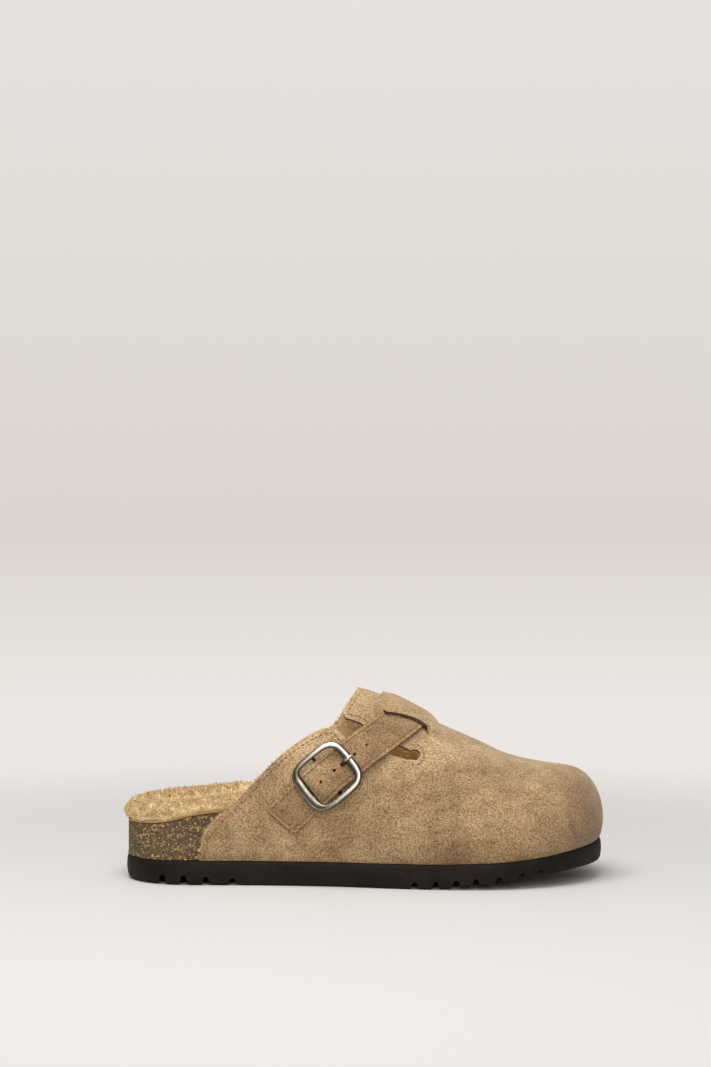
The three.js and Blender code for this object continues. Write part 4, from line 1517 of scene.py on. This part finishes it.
    def dress(self, finishes: "Finishes") -> None:
        """Gives the wall its thickness and its looks, and adds the tongue and the seams.

        Args:
            finishes: the shoe's materials.
        """
        shell = self.part
        for material in (finishes.suede, finishes.edge, finishes.hide):
            shell.data.materials.append(material)
        modify(shell, "SOLIDIFY", thickness=LAST.wall - 0.1 * MM, offset=-1, use_even_offset=False,
               material_offset_rim=1, material_offset=2)
        dress(shell, "suede", angle=55, stands_for=["upper"])
        self.tongue(finishes)
        self.seams(finishes)

    def tongue(self, finishes: "Finishes") -> None:
        """Lays the piece of the surface that runs on under the slot's lip.

        Args:
            finishes: the shoe's materials.
        """
        def place(u: float, v: float) -> Point:
            across = self.tongue_half * (2 * v - 1)
            reach = STRAP.lip(across) - self.tongue_back + self.tongue_reach * u
            angle, climb = LAST.climb_at(*STRAP.axis(reach, across))
            near, far = self.tongue_sink
            sink = near + (far - near) * smooth(u, 0.3, 1)
            return self.surface(angle, climb) - LAST.normal(angle, climb) * sink

        dress(weld(mapped("upper_tongue", 40, 48, place)), "suede", finishes.suede)

    def spot(self, x: float, z: float, inner: bool) -> Point:
        """Finds the angle, climb and cover's share of a place of the side view.

        Args:
            x: place along the shoe.
            z: height.
            inner: True for the inner side.

        Returns:
            The angle, the climb and the cover's share.
        """
        angle, climb = LAST.climb_at(x, z, inner)
        climb = min(0.995, climb)
        for _ in range(2):
            ahead = self.front(angle, climb, LAST.upper(angle, climb))[0]
            angle, climb = self.moved(angle, climb, 0.0, ahead, (x, z))
        return angle, climb, ahead

    def seam(self, line: Line, inner: bool = False) -> list[list[Vector]]:
        """Runs stitches along a line of the side view.

        Args:
            line: the seam's line in the side view.
            inner: True on the inner side.

        Returns:
            The points of each stitch.
        """
        points = []
        for x, z in line:
            angle, climb, ahead = self.spot(x, z, inner)
            away = LAST.normal(angle, climb) * 0.05 * MM
            points.append(self.surface(angle, climb, ahead=ahead) + away)
        return laid(points, self.stitch, self.stitch_gap)

    def seams(self, finishes: "Finishes") -> None:
        """Sews the collar, the tab, the keyhole and the inner collar.

        Args:
            finishes: the shoe's materials.
        """
        def along(rows: Line, offset: float) -> list[Spot]:
            return beside(rounded(drawn(rows), 4), offset)

        arc = self.circle(self.keyhole_radius + self.keyhole_seam,
                          [a / 10 for a in range(-21, 23)])
        stitches = self.seam(along(self.collar[1:-1], -self.collar_seam))
        stitches += self.seam(arc)
        stitches += self.seam(along(self.tab[1:-1], -self.tab_seam))
        stitches += self.seam(along(self.inner_collar[1:-2], -self.collar_seam), True)
        sewing = tubes("upper_stitches", stitches, self.thread_radius)
        dress(sewing, "suede", finishes.thread)


def beside(line: Line, offset: float) -> list[Spot]:
    """Moves an open line of the side view sideways, to its left where the offset is positive.

    Args:
        line: the line's points.
        offset: how far it moves.

    Returns:
        The moved line.
    """
    moved = []
    last = len(line) - 1
    for i, (x, z) in enumerate(line):
        (x0, z0), (x1, z1) = line[max(0, i - 1)], line[min(last, i + 1)]
        size = math.hypot(x1 - x0, z1 - z0) or 1e-9
        moved.append((x - (z1 - z0) / size * offset, z + (x1 - x0) / size * offset))
    return moved


def laid(points: Sequence[Vector], length: float, gap: float) -> list[list[Vector]]:
    """Cuts a line into stitches that dip into the cloth at both ends.

    Args:
        points: the line.
        length: a stitch's length.
        gap: the space between two stitches.

    Returns:
        The points of each stitch.
    """
    places = [0.0]
    for a, b in zip(points, points[1:]):
        places.append(places[-1] + (b - a).length)

    def at(place: float) -> Vector:
        i = 0
        while i < len(places) - 2 and places[i + 1] < place:
            i += 1
        span = places[i + 1] - places[i] or 1e-9
        return points[i].lerp(points[i + 1], min(1, max(0, (place - places[i]) / span)))

    stitches = []
    start = gap
    while start + length < places[-1]:
        stitches.append([at(start + length * k / 4) for k in range(5)])
        start += length + gap
    return stitches


# Strap


@dataclass
class Strap:
    """Suede strap with punched holes, stitched along its border."""

    rows: int = 230
    columns: int = 44
    holes: Sequence[float] = (.356, .464, .62, .71)
    hole: float = 1.8 * MM
    prong_hole: float = 0.538
    prong_length: float = 4.6 * MM
    prong_width: float = 2.7 * MM
    border: float = 2.0 * MM
    corner: float = 0.018
    seam_dent: float = 0.22 * MM
    edge_drop: float = 0.30 * MM
    lump: float = 0.25 * MM
    stitch: float = 1.8 * MM
    stitch_gap: float = 0.9 * MM
    thread_radius: float = 0.24 * MM

    def place(self, reach: float, across: float, height: float = 0.0) -> Vector:
        """Finds a point over the strap's lower face, with its rounded corners and soft dents.

        Args:
            reach: 0 at the strap's free end, 1 at the slot's lip.
            across: -0.5 at the upper edge of the strap, 0.5 at the lower edge.
            height: distance from the lower face.

        Returns:
            The point.
        """
        corner = max(0.0, abs(across) * 2 - 0.8) / 0.2
        shown = reach + self.corner * corner ** 2 * (1 - smooth(reach, 0, 0.06))
        edge = (0.5 - abs(across)) * STRAP.width
        end = reach * STRAP.reach * LAST.length
        border = min(edge, max(0.0, end))
        puff = -self.seam_dent * hill(border, self.border, 0.7 * MM)
        puff -= self.edge_drop * (1 - smooth(border, 0, 1.1 * MM))
        foot, away = STRAP.foot(shown, across)
        lump = noise.noise(foot * 90) * self.lump
        return foot + away * (height + puff + lump)

    def build(self) -> None:
        """Builds the strap's upper face and keeps how near its border every vertex lies."""
        borders: list[float] = []

        def top(u: float, v: float) -> Point:
            reach = 1.09 * u
            narrow = 1 - 0.08 * smooth(reach, 0.96, 1.02)
            borders.append(min((0.5 - abs(v - 0.5)) * STRAP.width,
                               reach * STRAP.reach * LAST.length))
            return self.place(reach, (v - 0.5) * narrow, STRAP.thickness)

        strap = mapped("strap_leather", self.rows, self.columns, top)
        shaded(strap, "border", [min(1.0, border / (2 * self.border)) for border in borders])
        centre = strap.data.polygons[len(strap.data.polygons) // 2]
        if centre.normal.y > 0:
            strap.data.flip_normals()
        self.part = strap

    def punch(self, reach: float, length: float, width: float) -> Object:
        """Makes a round-ended punch standing on the strap.

        Args:
            reach: 0 at the strap's free end, 1 at the slot's lip.
            length: the hole's length along the strap.
            width: the hole's width.

        Returns:
            The cutter.
        """
        centre, away = STRAP.foot(reach, 0)
        ahead = (STRAP.foot(reach + .01, 0)[0] - STRAP.foot(reach - .01, 0)[0]).normalized()
        side = away.cross(ahead).normalized()
        ahead = side.cross(away)
        bpy.ops.mesh.primitive_cylinder_add(vertices=24, radius=width / 2, depth=12 * MM)
        cutter = bpy.context.object
        for vertex in cutter.data.vertices:
            vertex.co.x += math.copysign((length - width) / 2, vertex.co.x) if length > width else 0
        turn = Matrix((ahead, side, away)).transposed().to_4x4()
        cutter.data.transform(Matrix.Translation(centre) @ turn)
        return cutter

    def dress(self, finishes: "Finishes") -> None:
        """Gives the strap its thickness, holes, border seam and looks.

        Args:
            finishes: the shoe's materials.
        """
        strap = self.part
        for material in (finishes.strap, finishes.edge, finishes.strap):
            strap.data.materials.append(material)
        modify(strap, "SOLIDIFY", thickness=STRAP.thickness, offset=-1, material_offset_rim=1,
               material_offset=0)
        cutters = [self.punch(hole, self.hole, self.hole) for hole in self.holes]
        cutters.append(self.punch(self.prong_hole, self.prong_length, self.prong_width))
        cutter = joined("punches", cutters)
        cutter.data.materials.append(finishes.edge)
        modify(strap, "BOOLEAN", operation="DIFFERENCE", object=cutter, solver="EXACT",
               material_mode="TRANSFER")
        bpy.data.objects.remove(cutter)
        dress(strap, "suede", angle=50, stands_for=["strap"])
        edge = 0.5 - self.border / STRAP.width
        start = self.border / (STRAP.reach * LAST.length)
        path = [(reach / 60, edge) for reach in range(60, 1, -1)]
        path += [(start, edge * (1 - k / 6)) for k in range(13)]
        path += [(reach / 60, -edge) for reach in range(2, 61)]
        line = [self.place(max(start, r), a, STRAP.thickness + 0.02 * MM) for r, a in path]
        stitches = laid(line, self.stitch, self.stitch_gap)
        dress(tubes("strap_stitches", stitches, self.thread_radius), "suede", finishes.thread)


# Fleece


@dataclass
class Locks:
    """Curly locks of wool, seeded, a few dozen faces each."""

    seed: int = 7
    rings: int = 5
    sides: int = 3

    def grow(self, name: str, roots: Sequence[tuple[Vector, Vector, float]]) -> Object:
        """Grows one tapered curl from each root.

        Args:
            name: the object's name.
            roots: place, direction and length of each lock.

        Returns:
            The object.
        """
        rng = random.Random(self.seed)
        vertices, faces = [], []
        for root, away, length in roots:
            side = away.orthogonal().normalized()
            side.rotate(Matrix.Rotation(rng.uniform(0, 2 * math.pi), 3, away))
            other = away.cross(side)
            curl, turn = rng.uniform(1.0, 2.6), rng.uniform(0, 2 * math.pi)
            fat = length * rng.uniform(0.09, 0.16)
            lean = rng.uniform(0.2, 0.8)
            start = len(vertices)
            for k in range(self.rings):
                t = k / (self.rings - 1)
                swing = turn + curl * t
                bend = (side * (math.cos(swing) - math.cos(turn))
                        + other * (math.sin(swing) - math.sin(turn)))
                point = root + away * length * t * (1 - 0.35 * t) + bend * length * 0.20
                point += side * lean * length * t * t * 0.5
                size = fat * (1 - t) ** 0.6 + 0.04 * MM
                vertices += hoop(point, side * size, other * size, self.sides, t)
            faces += skin(start, self.rings, self.sides)
        return meshed(name, vertices, faces)


def curls(point: Vector, depth: float) -> float:
    """Works out the height of curly wool.

    Args:
        point: the place.
        depth: the height of the pile.

    Returns:
        The height, between 0 and the depth.
    """
    wide = 1 - abs(noise.noise(point * 150)) * 2
    fine = 1 - abs(noise.noise(point * 420 + Vector((5, 2, 1)))) * 2
    return depth * (0.55 * max(0, wide) + 0.30 * max(0, fine))


@dataclass
class FleeceBed:
    """Fleece over the footbed, curling over its edge round the open heel."""

    around: int = 400
    rings: int = 60
    locks: int = 10800
    pile: float = 1.8 * MM
    height: float = 44 * MM
    overhang: float = 1.3 * MM
    hide: float = 1.6 * MM
    round_edge: float = 4 * MM
    flat_from: float = 0.72
    reach: float = 15 * MM
    top_row: Row = Row((0, .975), (.06, 1.0), (.13, 1.03), (.19, 1.07), (.28, 1.11), (.42, 1.06),
                       (.58, .88), (.75, .76), (.90, .80), (1, .90))
    bed_row: Row = Row((0, .76), (.06, .75), (.13, .76), (.19, .79), (.28, .83), (.42, .84),
                       (.58, .74), (.75, .66), (.90, .70), (1, .80))
    over_row: Row = Row((0, 1.0), (.06, .9), (.13, .2), (.19, -1.6), (.28, -1.7), (.42, -1.7),
                        (.58, -1.7), (.75, -1.7), (.90, -1.7), (1, -1.7))

    def profile(self, share: float) -> list[Spot]:
        """Works out the section at a share of the length.

        Args:
            share: place along the shoe, as a share of its length.

        Returns:
            Inset and height of the section's points, from the edge's foot to the bed.
        """
        cork = LAST.cork_inset(share)
        base = LAST.cork_height * LAST.rim_row(share) + self.hide + 2 * LAST.fit
        top = self.height * self.top_row(share) - self.pile * 0.8
        out = -self.overhang * self.over_row(share)
        edge = self.round_edge
        bed = self.height * self.bed_row(share) - self.pile * 0.8
        return [(cork + 4 * MM, base), (max(out, cork + 0.5 * MM) + 0.4 * MM, base + 0.1 * MM),
                (out + self.pile * 0.7, base + (top - base) * 0.30),
                (out + self.pile * 0.7 + edge * 0.3, top - edge * 0.55),
                (out + edge * 1.5, top), (out + edge * 3, top - edge * 0.5),
                (cork + self.reach + 2 * MM, bed)]

    def spot(self, angle: float, place: float) -> Vector:
        """Finds a point of the smooth bed.

        Args:
            angle: place round the outline.
            place: 0 at its outer lower edge, 1 at its middle.

        Returns:
            The point.
        """
        share = share_of(angle)
        points = self.profile(share)
        edge = self.flat_from
        if place > edge:
            inset, height = points[-1]
            x, y = LAST.outline(angle, inset)
            middle = LAST.ball * LAST.centre_row(share)
            return Vector((x, y + (middle - y) * (place - edge) / (1 - edge), height))
        inset, height = between(rounded(points), place / edge)
        return Vector((*LAST.outline(angle, inset), height))

    def away(self, angle: float, place: float) -> Vector:
        """Finds the direction away from the bed.

        Args:
            angle: place round the outline.
            place: 0 at its outer lower edge, 1 at its middle.

        Returns:
            The direction.
        """
        ahead = self.spot(angle + .01, place) - self.spot(angle - .01, place)
        over = self.spot(angle, min(1, place + .02)) - self.spot(angle, max(0, place - .02))
        away = ahead.cross(over)
        return away.normalized() if away.length > 1e-12 else Vector((0, 0, 1))

    def build(self) -> None:
        """Builds the curly bed."""
        def place(u: float, v: float) -> Point:
            angle = 2 * math.pi * u
            point = self.spot(angle, v)
            fade = smooth(v, 0, 0.08)
            return point + self.away(angle, v) * curls(point, self.pile) * fade

        self.part = weld(mapped("fleece_bed", self.around, self.rings, place))

    def dress(self, finishes: "Finishes") -> None:
        """Adds locks, most of them where the bed shows, and the looks.

        Args:
            finishes: the shoe's materials.
        """
        rng = random.Random(3)
        heels, beds = [], []
        for k in range(self.locks):
            heel = k % 3 > 0
            share = rng.uniform(0, 0.24) if heel else rng.uniform(0, 0.5)
            angle = angle_of(share, rng.random() < 0.5)
            place = rng.uniform(0.20, 0.62) if heel else rng.uniform(0.35, 1)
            point, away = self.spot(angle, place), self.away(angle, place)
            brushed = Vector((-0.5 + rng.uniform(-.4, .4), rng.uniform(-.5, .5), 0.35))
            length = rng.uniform(1.8, 3.4) * (1.0 if place < 0.45 else 1.3) * MM
            rows = heels if heel else beds
            rows.append((point, (away * 0.45 + brushed).normalized(), length))
        dress(self.part, "fleece", finishes.fleece, angle=180, stands_for=["fleece_insole"])
        for name, rows in (("heel_locks", heels), ("bed_locks", beds)):
            dress(Locks().grow(name, rows), "fleece", finishes.fleece, angle=180)


@dataclass
class Lining:
    """Fleece lining inside the upper, with tufts that show past its cut edges."""

    upper: Upper
    columns: int = 250
    rows: int = 56
    depth: float = 1.95 * MM
    thick: float = 3.2 * MM
    locks: int = 1500
    flat: Spot = (0.17, 0.24)
    area: float = 0.0320

    def build(self) -> None:
        """Builds the curly sheet inside the upper."""
        sheet = self.upper.shell("fleece_lining", self.columns, self.rows, self.depth,
                                 covered=False)
        modify(sheet, "SOLIDIFY", thickness=self.thick, offset=-1)
        vertices = sheet.data.vertices
        normals = [vertex.normal.copy() for vertex in vertices]
        for i in range(len(vertices) // 2, len(vertices)):
            vertices[i].co += normals[i] * (curls(vertices[i].co, 2.2 * MM) - 0.6 * MM)
        self.part = sheet

    def dress(self, finishes: "Finishes") -> None:
        """Adds tufts along the openings and the looks.

        Args:
            finishes: the shoe's materials.
        """
        rng = random.Random(11)
        roots = []
        for line, inner in ((self.upper.lines[Side.OUTER][4:-2], False),
                            (self.upper.lines[Side.INNER][4:-2], True)):
            for _ in range(self.locks // 2):
                i, t = rng.randrange(len(line) - 1), rng.random()
                x, z = (line[i][k] * (1 - t) + line[i + 1][k] * t for k in (0, 1))
                if z > LAST.instep * 0.98:
                    continue
                angle, climb = LAST.climb_at(x, z, inner)
                away = LAST.normal(angle, climb)
                back = Vector((rng.uniform(-1.2, -.4), 0, rng.uniform(.1, .9)))
                root = self.upper.surface(angle, climb) - away * rng.uniform(2.4, 4.6) * MM
                roots.append((root, (back - away * 0.3).normalized(), rng.uniform(1.8, 3.2) * MM))
        for _ in range(self.locks):
            share, climb = rng.uniform(0.18, 0.60), rng.uniform(0.25, 1)
            angle = angle_of(share, rng.random() < 0.6)
            point = self.upper.surface(angle, climb)
            near = math.dist(nearest((point.x, point.z), self.upper.ring, True), (point.x, point.z))
            if self.upper.cut(point, angle <= math.pi) or near < 6 * MM:
                continue
            away = LAST.normal(angle, climb)
            lean = Vector((rng.uniform(-.6, .2), rng.uniform(-.4, .4), rng.uniform(-.4, .4)))
            root = point - away * (self.depth + self.thick + 0.6 * MM)
            roots.append((root, (lean - away).normalized(), rng.uniform(2, 3.6) * MM))
        dress(self.part, "fleece", finishes.fleece, angle=180)
        dress(Locks(seed=5).grow("lining_locks", roots), "fleece", finishes.fleece, angle=180)


# Buckle


@dataclass
class Buckle:
    """Rounded frame, hinge bar and prong of aged plated metal."""

    along: float = 0.407
    turn: float = math.radians(40)
    length: float = 34 * MM
    width: float = 31 * MM
    square: float = 3.4
    thickness: float = 2.6 * MM
    side_bar: float = 3.2 * MM
    upper_bar: float = 4.2 * MM
    lower_bar: float = 5.8 * MM
    bow: float = 1 * MM
    plane: float = 7.4 * MM
    hinge: float = 1.8 * MM
    hinge_lift: float = 2.3 * MM
    around: int = 160
    section: Line = (
        (-1.0, -0.2), (-0.96, 0.25), (-0.80, 0.62), (-0.55, 0.86), (-0.30, 0.98), (0.0, 1.0),
        (0.30, 0.98), (0.55, 0.86), (0.80, 0.62), (0.96, 0.25), (1.0, -0.2), (0.9, -0.7),
        (0.5, -1.0), (0, -1.0), (-0.5, -1.0), (-0.9, -0.7))

    def frame_at(self) -> Matrix:
        """Finds the place of the buckle.

        Returns:
            A matrix with x along the strap, y across it and z away from the upper.
        """
        x, z = STRAP.axis(self.along, 0)
        angle, climb = LAST.climb_at(x, z)
        away = LAST.normal(angle, climb)
        ahead = Vector((math.cos(self.turn), 0, math.sin(self.turn)))
        ahead = (ahead - away * ahead.dot(away)).normalized()
        side = away.cross(ahead)
        turn = Matrix((ahead, side, away)).transposed().to_4x4()
        return Matrix.Translation(LAST.upper(angle, climb)) @ turn

    def rim(self, turn: float) -> tuple[float, float, float, float]:
        """Finds a point of the frame's outer edge.

        Args:
            turn: angle round the frame's middle.

        Returns:
            X and Y of the point and of the direction outwards.
        """
        def at(a: float) -> Spot:
            c, s = math.cos(a), math.sin(a)
            size = (abs(c) ** self.square + abs(s) ** self.square) ** (-1 / self.square)
            return c * size * self.length / 2, s * size * self.width / 2

        x, y = at(turn)
        (x0, y0), (x1, y1) = at(turn - .002), at(turn + .002)
        size = math.hypot(x1 - x0, y1 - y0)
        return x, y, (y1 - y0) / size, -(x1 - x0) / size

    def build(self) -> None:
        """Builds the frame, the hinge bar and the prong."""
        place = self.frame_at()
        count = len(self.section)

        def ring(u: float, v: float) -> Point:
            turn = 2 * math.pi * u
            x, y, nx, ny = self.rim(turn)
            end = smooth(abs(x) / (self.length / 2), 0.55, 0.95)
            corner = smooth(abs(y) / (self.width / 2), 0.35, 1)
            bar = self.upper_bar if x > 0 else self.lower_bar
            width = self.side_bar + (bar - self.side_bar) * end * (1 - 0.6 * corner)
            out, high = self.section[round(v * count) % count]
            lift = self.plane + high * self.thickness / 2 - self.bow * (2 * x / self.length) ** 2
            inset = (1 - out) * width / 2
            return place @ Vector((x - nx * inset, y - ny * inset, lift))

        self.part = weld(mapped("buckle_ring", self.around, count, ring))
        reach = (self.width - self.side_bar) / 2
        low, high = self.hinge_lift, self.plane - 0.3 * MM
        half = [(reach, high), (reach, low + 1.2 * MM), (reach - 0.5 * MM, low + 0.3 * MM),
                (reach - 1.6 * MM, low)]
        bar = [(0, -y, z) for y, z in half] + [(0, y, z) for y, z in reversed(half)]
        self.bar = tubes("buckle_hinge", [[place @ Vector(p) for p in bar]], self.hinge / 2, 16)
        centre = self.length / 2 - self.upper_bar / 2
        top = self.plane - self.bow * 0.8 + self.thickness / 2
        pin = [(1.6 * MM, low), (4.5 * MM, low), (centre * 0.55, low + 0.2 * MM),
               (centre * 0.71, low + 1.9 * MM), (centre * 0.82, top - 0.9 * MM),
               (centre * 0.92, top + 0.75 * MM), (centre, top + 0.95 * MM),
               (centre + 1.6 * MM, top + 0.7 * MM), (centre + 2.1 * MM, top + 0.3 * MM)]
        path = rounded(pin, 5)
        self.pin = tubes("buckle_pin", [[place @ Vector((x, 0, z)) for x, z in path]], 1.0 * MM, 16)

    def dress(self, finishes: "Finishes") -> None:
        """Gives the three pieces their looks; the crown carries a painted highlight, and hollows,
        slopes and the lower bar are darker as painted shade.

        Args:
            finishes: the shoe's materials.
        """
        place = self.frame_at().inverted()
        # Painted light on the frame: bright on the crown as a painted highlight, darker on the
        # slopes and over the lower half as painted shade, and on the lower bar a dark middle band
        # with painted highlights along its rims.
        crowns = []
        for vertex in self.part.data.vertices:
            spot = place @ vertex.co
            along = 2 * spot.x / self.length
            lift = (spot.z - self.plane + self.bow * along ** 2) / self.thickness * 2
            low_bar = smooth(-along, 0.45, 0.8)
            crown = smooth(lift, 0.45, 1.0) * (1 - 0.75 * low_bar)
            rim_painted_highlight = hill(lift, 0.62, 0.16) * low_bar * 0.8
            crowns.append((crown + rim_painted_highlight) * (0.62 + 0.38 * smooth(spot.x, -0.01, 0.014)))
        shaded(self.part, "crown", crowns)
        # Painted highlight on the prong: brighter the higher it stands over the frame's plane.
        heights = [(place @ vertex.co).z - self.plane for vertex in self.pin.data.vertices]
        shaded(self.pin, "crown", [0.9 * smooth(height, 0, 2 * MM) for height in heights])
        for part, nodes in ((self.part, ["buckle_frame"]), (self.pin, ["buckle_prong"]),
                            (self.bar, [])):
            dress(part, "buckle_metal", finishes.metal, angle=60, stands_for=nodes)


# Place and light


@dataclass
class Studio:
    """A pale floor running into a pale wall, lit softly from above and the left."""

    camera_place: Point = (0.0977, -1.140, 0.188)
    lens: float = 70.0
    sensor: float = 36.0
    floor_size: float = 24.0
    floor: Point = (0.755, 0.74, 0.72)
    floor_middle: Point = (0.0977, 0, 0)
    floor_fade: Spot = (0.17, 0.62)
    wall_far: Point = (0.84, 0.80, 0.765)
    wall_low: Point = (0.715, 0.665, 0.623)
    wall_high: Point = (0.80, 0.76, 0.73)
    fill: Point = (0.36, 0.355, 0.345)

    def build(self) -> None:
        """Builds the camera, the floor, the lights and the surroundings."""
        self.build_camera()
        self.build_floor()
        self.build_world()
        self.build_lights()

    def build_camera(self) -> None:
        """Sets the level camera."""
        bpy.ops.object.camera_add(location=self.camera_place, rotation=(math.pi / 2, 0, 0))
        camera = bpy.context.object
        camera.name = "camera"
        camera.data.lens = self.lens
        camera.data.sensor_fit = "AUTO"
        camera.data.sensor_width = self.sensor
        camera.data.clip_start = 0.01
        camera.data.clip_end = 100
        camera.data.dof.use_dof = False
        bpy.context.scene.camera = camera
        bpy.context.scene.view_settings.view_transform = "Standard"

    def build_floor(self) -> None:
        """Lays the floor, which fades into the wall far away."""
        bpy.ops.mesh.primitive_plane_add(size=self.floor_size)
        floor = bpy.context.object
        floor.name = "floor"
        n = Nodes("floor")
        colour = n.ramp(n.noise(3, 2), (0.3, self.floor), (0.7, self.floor))
        n.finish(colour, Roughness=0.6, Specular_IOR_Level=0.2)
        away = n.add("VectorMath", {0: n.place, 1: self.floor_middle}, operation="DISTANCE")
        near, far = self.floor_fade
        fade = n.add("MapRange", {"From Min": near, "From Max": far,
                                  "Value": away.outputs["Value"]},
                     interpolation_type="SMOOTHSTEP")
        clear = n.add("BsdfTransparent")
        blend = n.add("MixShader", {0: fade.outputs[0], 1: n.shader.outputs[0],
                                    2: clear.outputs[0]})
        n.tree.links.new(blend.outputs[0], n.out.inputs["Surface"])
        floor.data.materials.append(n.material)

    def build_world(self) -> None:
        """Sets pale surroundings, lighter near the horizon."""
        world = bpy.data.worlds.new("surroundings")
        bpy.context.scene.world = world
        world.use_nodes = True
        g = Graph(world.node_tree)
        up = g.add("SeparateXYZ", {0: g.add("TexCoord").outputs["Generated"]}).outputs["Z"]
        height = g.add("MapRange", {"From Min": -0.1, "From Max": 0.3, "Value": up}).outputs[0]
        wall = g.ramp(height, (0.04, self.wall_far), (0.25, self.wall_low), (0.875, self.wall_high))
        back = g.add("Background", {"Color": wall})
        fill = g.add("Background", {"Color": (*self.fill, 1)})
        seen = g.add("LightPath").outputs["Is Camera Ray"]
        mix = g.add("MixShader", {0: seen, 1: fill.outputs[0], 2: back.outputs[0]})
        g.add("OutputWorld", {"Surface": mix.outputs[0]})

    def build_lights(self) -> None:
        """Hangs a large soft light above and to the left, and a weak one in front."""
        for name, place, aim, size, power in (
                ("key", (-0.08, -0.42, 1.20), (0.10, 0, 0.03), 0.90, 12.0),
                ("front", (0.16, -1.9, 0.95), (0.10, 0, 0.05), 1.2, 15.0)):
            bpy.ops.object.light_add(type="AREA", location=place)
            light = bpy.context.object
            light.name = name
            light.data.size = size
            light.data.energy = power
            light.rotation_euler = (Vector(aim) - Vector(place)).to_track_quat("-Z", "Y").to_euler()


# Putting it together


@dataclass(frozen=True)
class Finishes:
    """The materials of the shoe."""

    suede: Material
    strap: Material
    cork: Material
    rubber: Material
    hide: Material
    fleece: Material
    metal: Material
    thread: Material
    edge: Material


def make_finishes() -> Finishes:
    """Makes every material once.

    Returns:
        The materials.
    """
    strap = Suede("suede_strap", (0.192, 0.117, 0.058), (0.355, 0.230, 0.119),
                  (0.525, 0.360, 0.200), bordered=True)
    hide = Fibre("hide", (0.34, 0.19, 0.07), (0.55, 0.33, 0.13), scale=500, detail=4, high=0.60,
                 depth=0.0003, roughness=0.85, specular=0.2, rough=0.6, stretch=(1, 1, 3))
    thread = Fibre("thread", (0.105, 0.060, 0.030), (0.19, 0.12, 0.065), scale=2200, detail=2,
                   high=0.65, depth=0.0001, roughness=0.7)
    edge = Fibre("cut_edge", (0.060, 0.032, 0.018), (0.15, 0.09, 0.05), scale=900, detail=3,
                 high=0.7, depth=0.0002, roughness=0.9)
    return Finishes(*(finish.make() for finish in (
        Suede(), strap, Cork(), Rubber(), hide, Fleece(), AgedSilverPaintedLight(), thread, edge)))


def main() -> None:
    """Builds the shoe and its studio in order."""
    logging.basicConfig(level=logging.INFO)
    finishes = make_finishes()
    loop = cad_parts["buckle_loop"]
    loop.data.materials.clear()
    loop.data.materials.append(finishes.suede)
    upper = Upper()
    for part in (Outsole(), Footbed(), upper, Lining(upper), FleeceBed(), Strap(), Buckle()):
        part.build()
        part.dress(finishes)
    Studio().build()


if __name__ == "__main__":
    main()
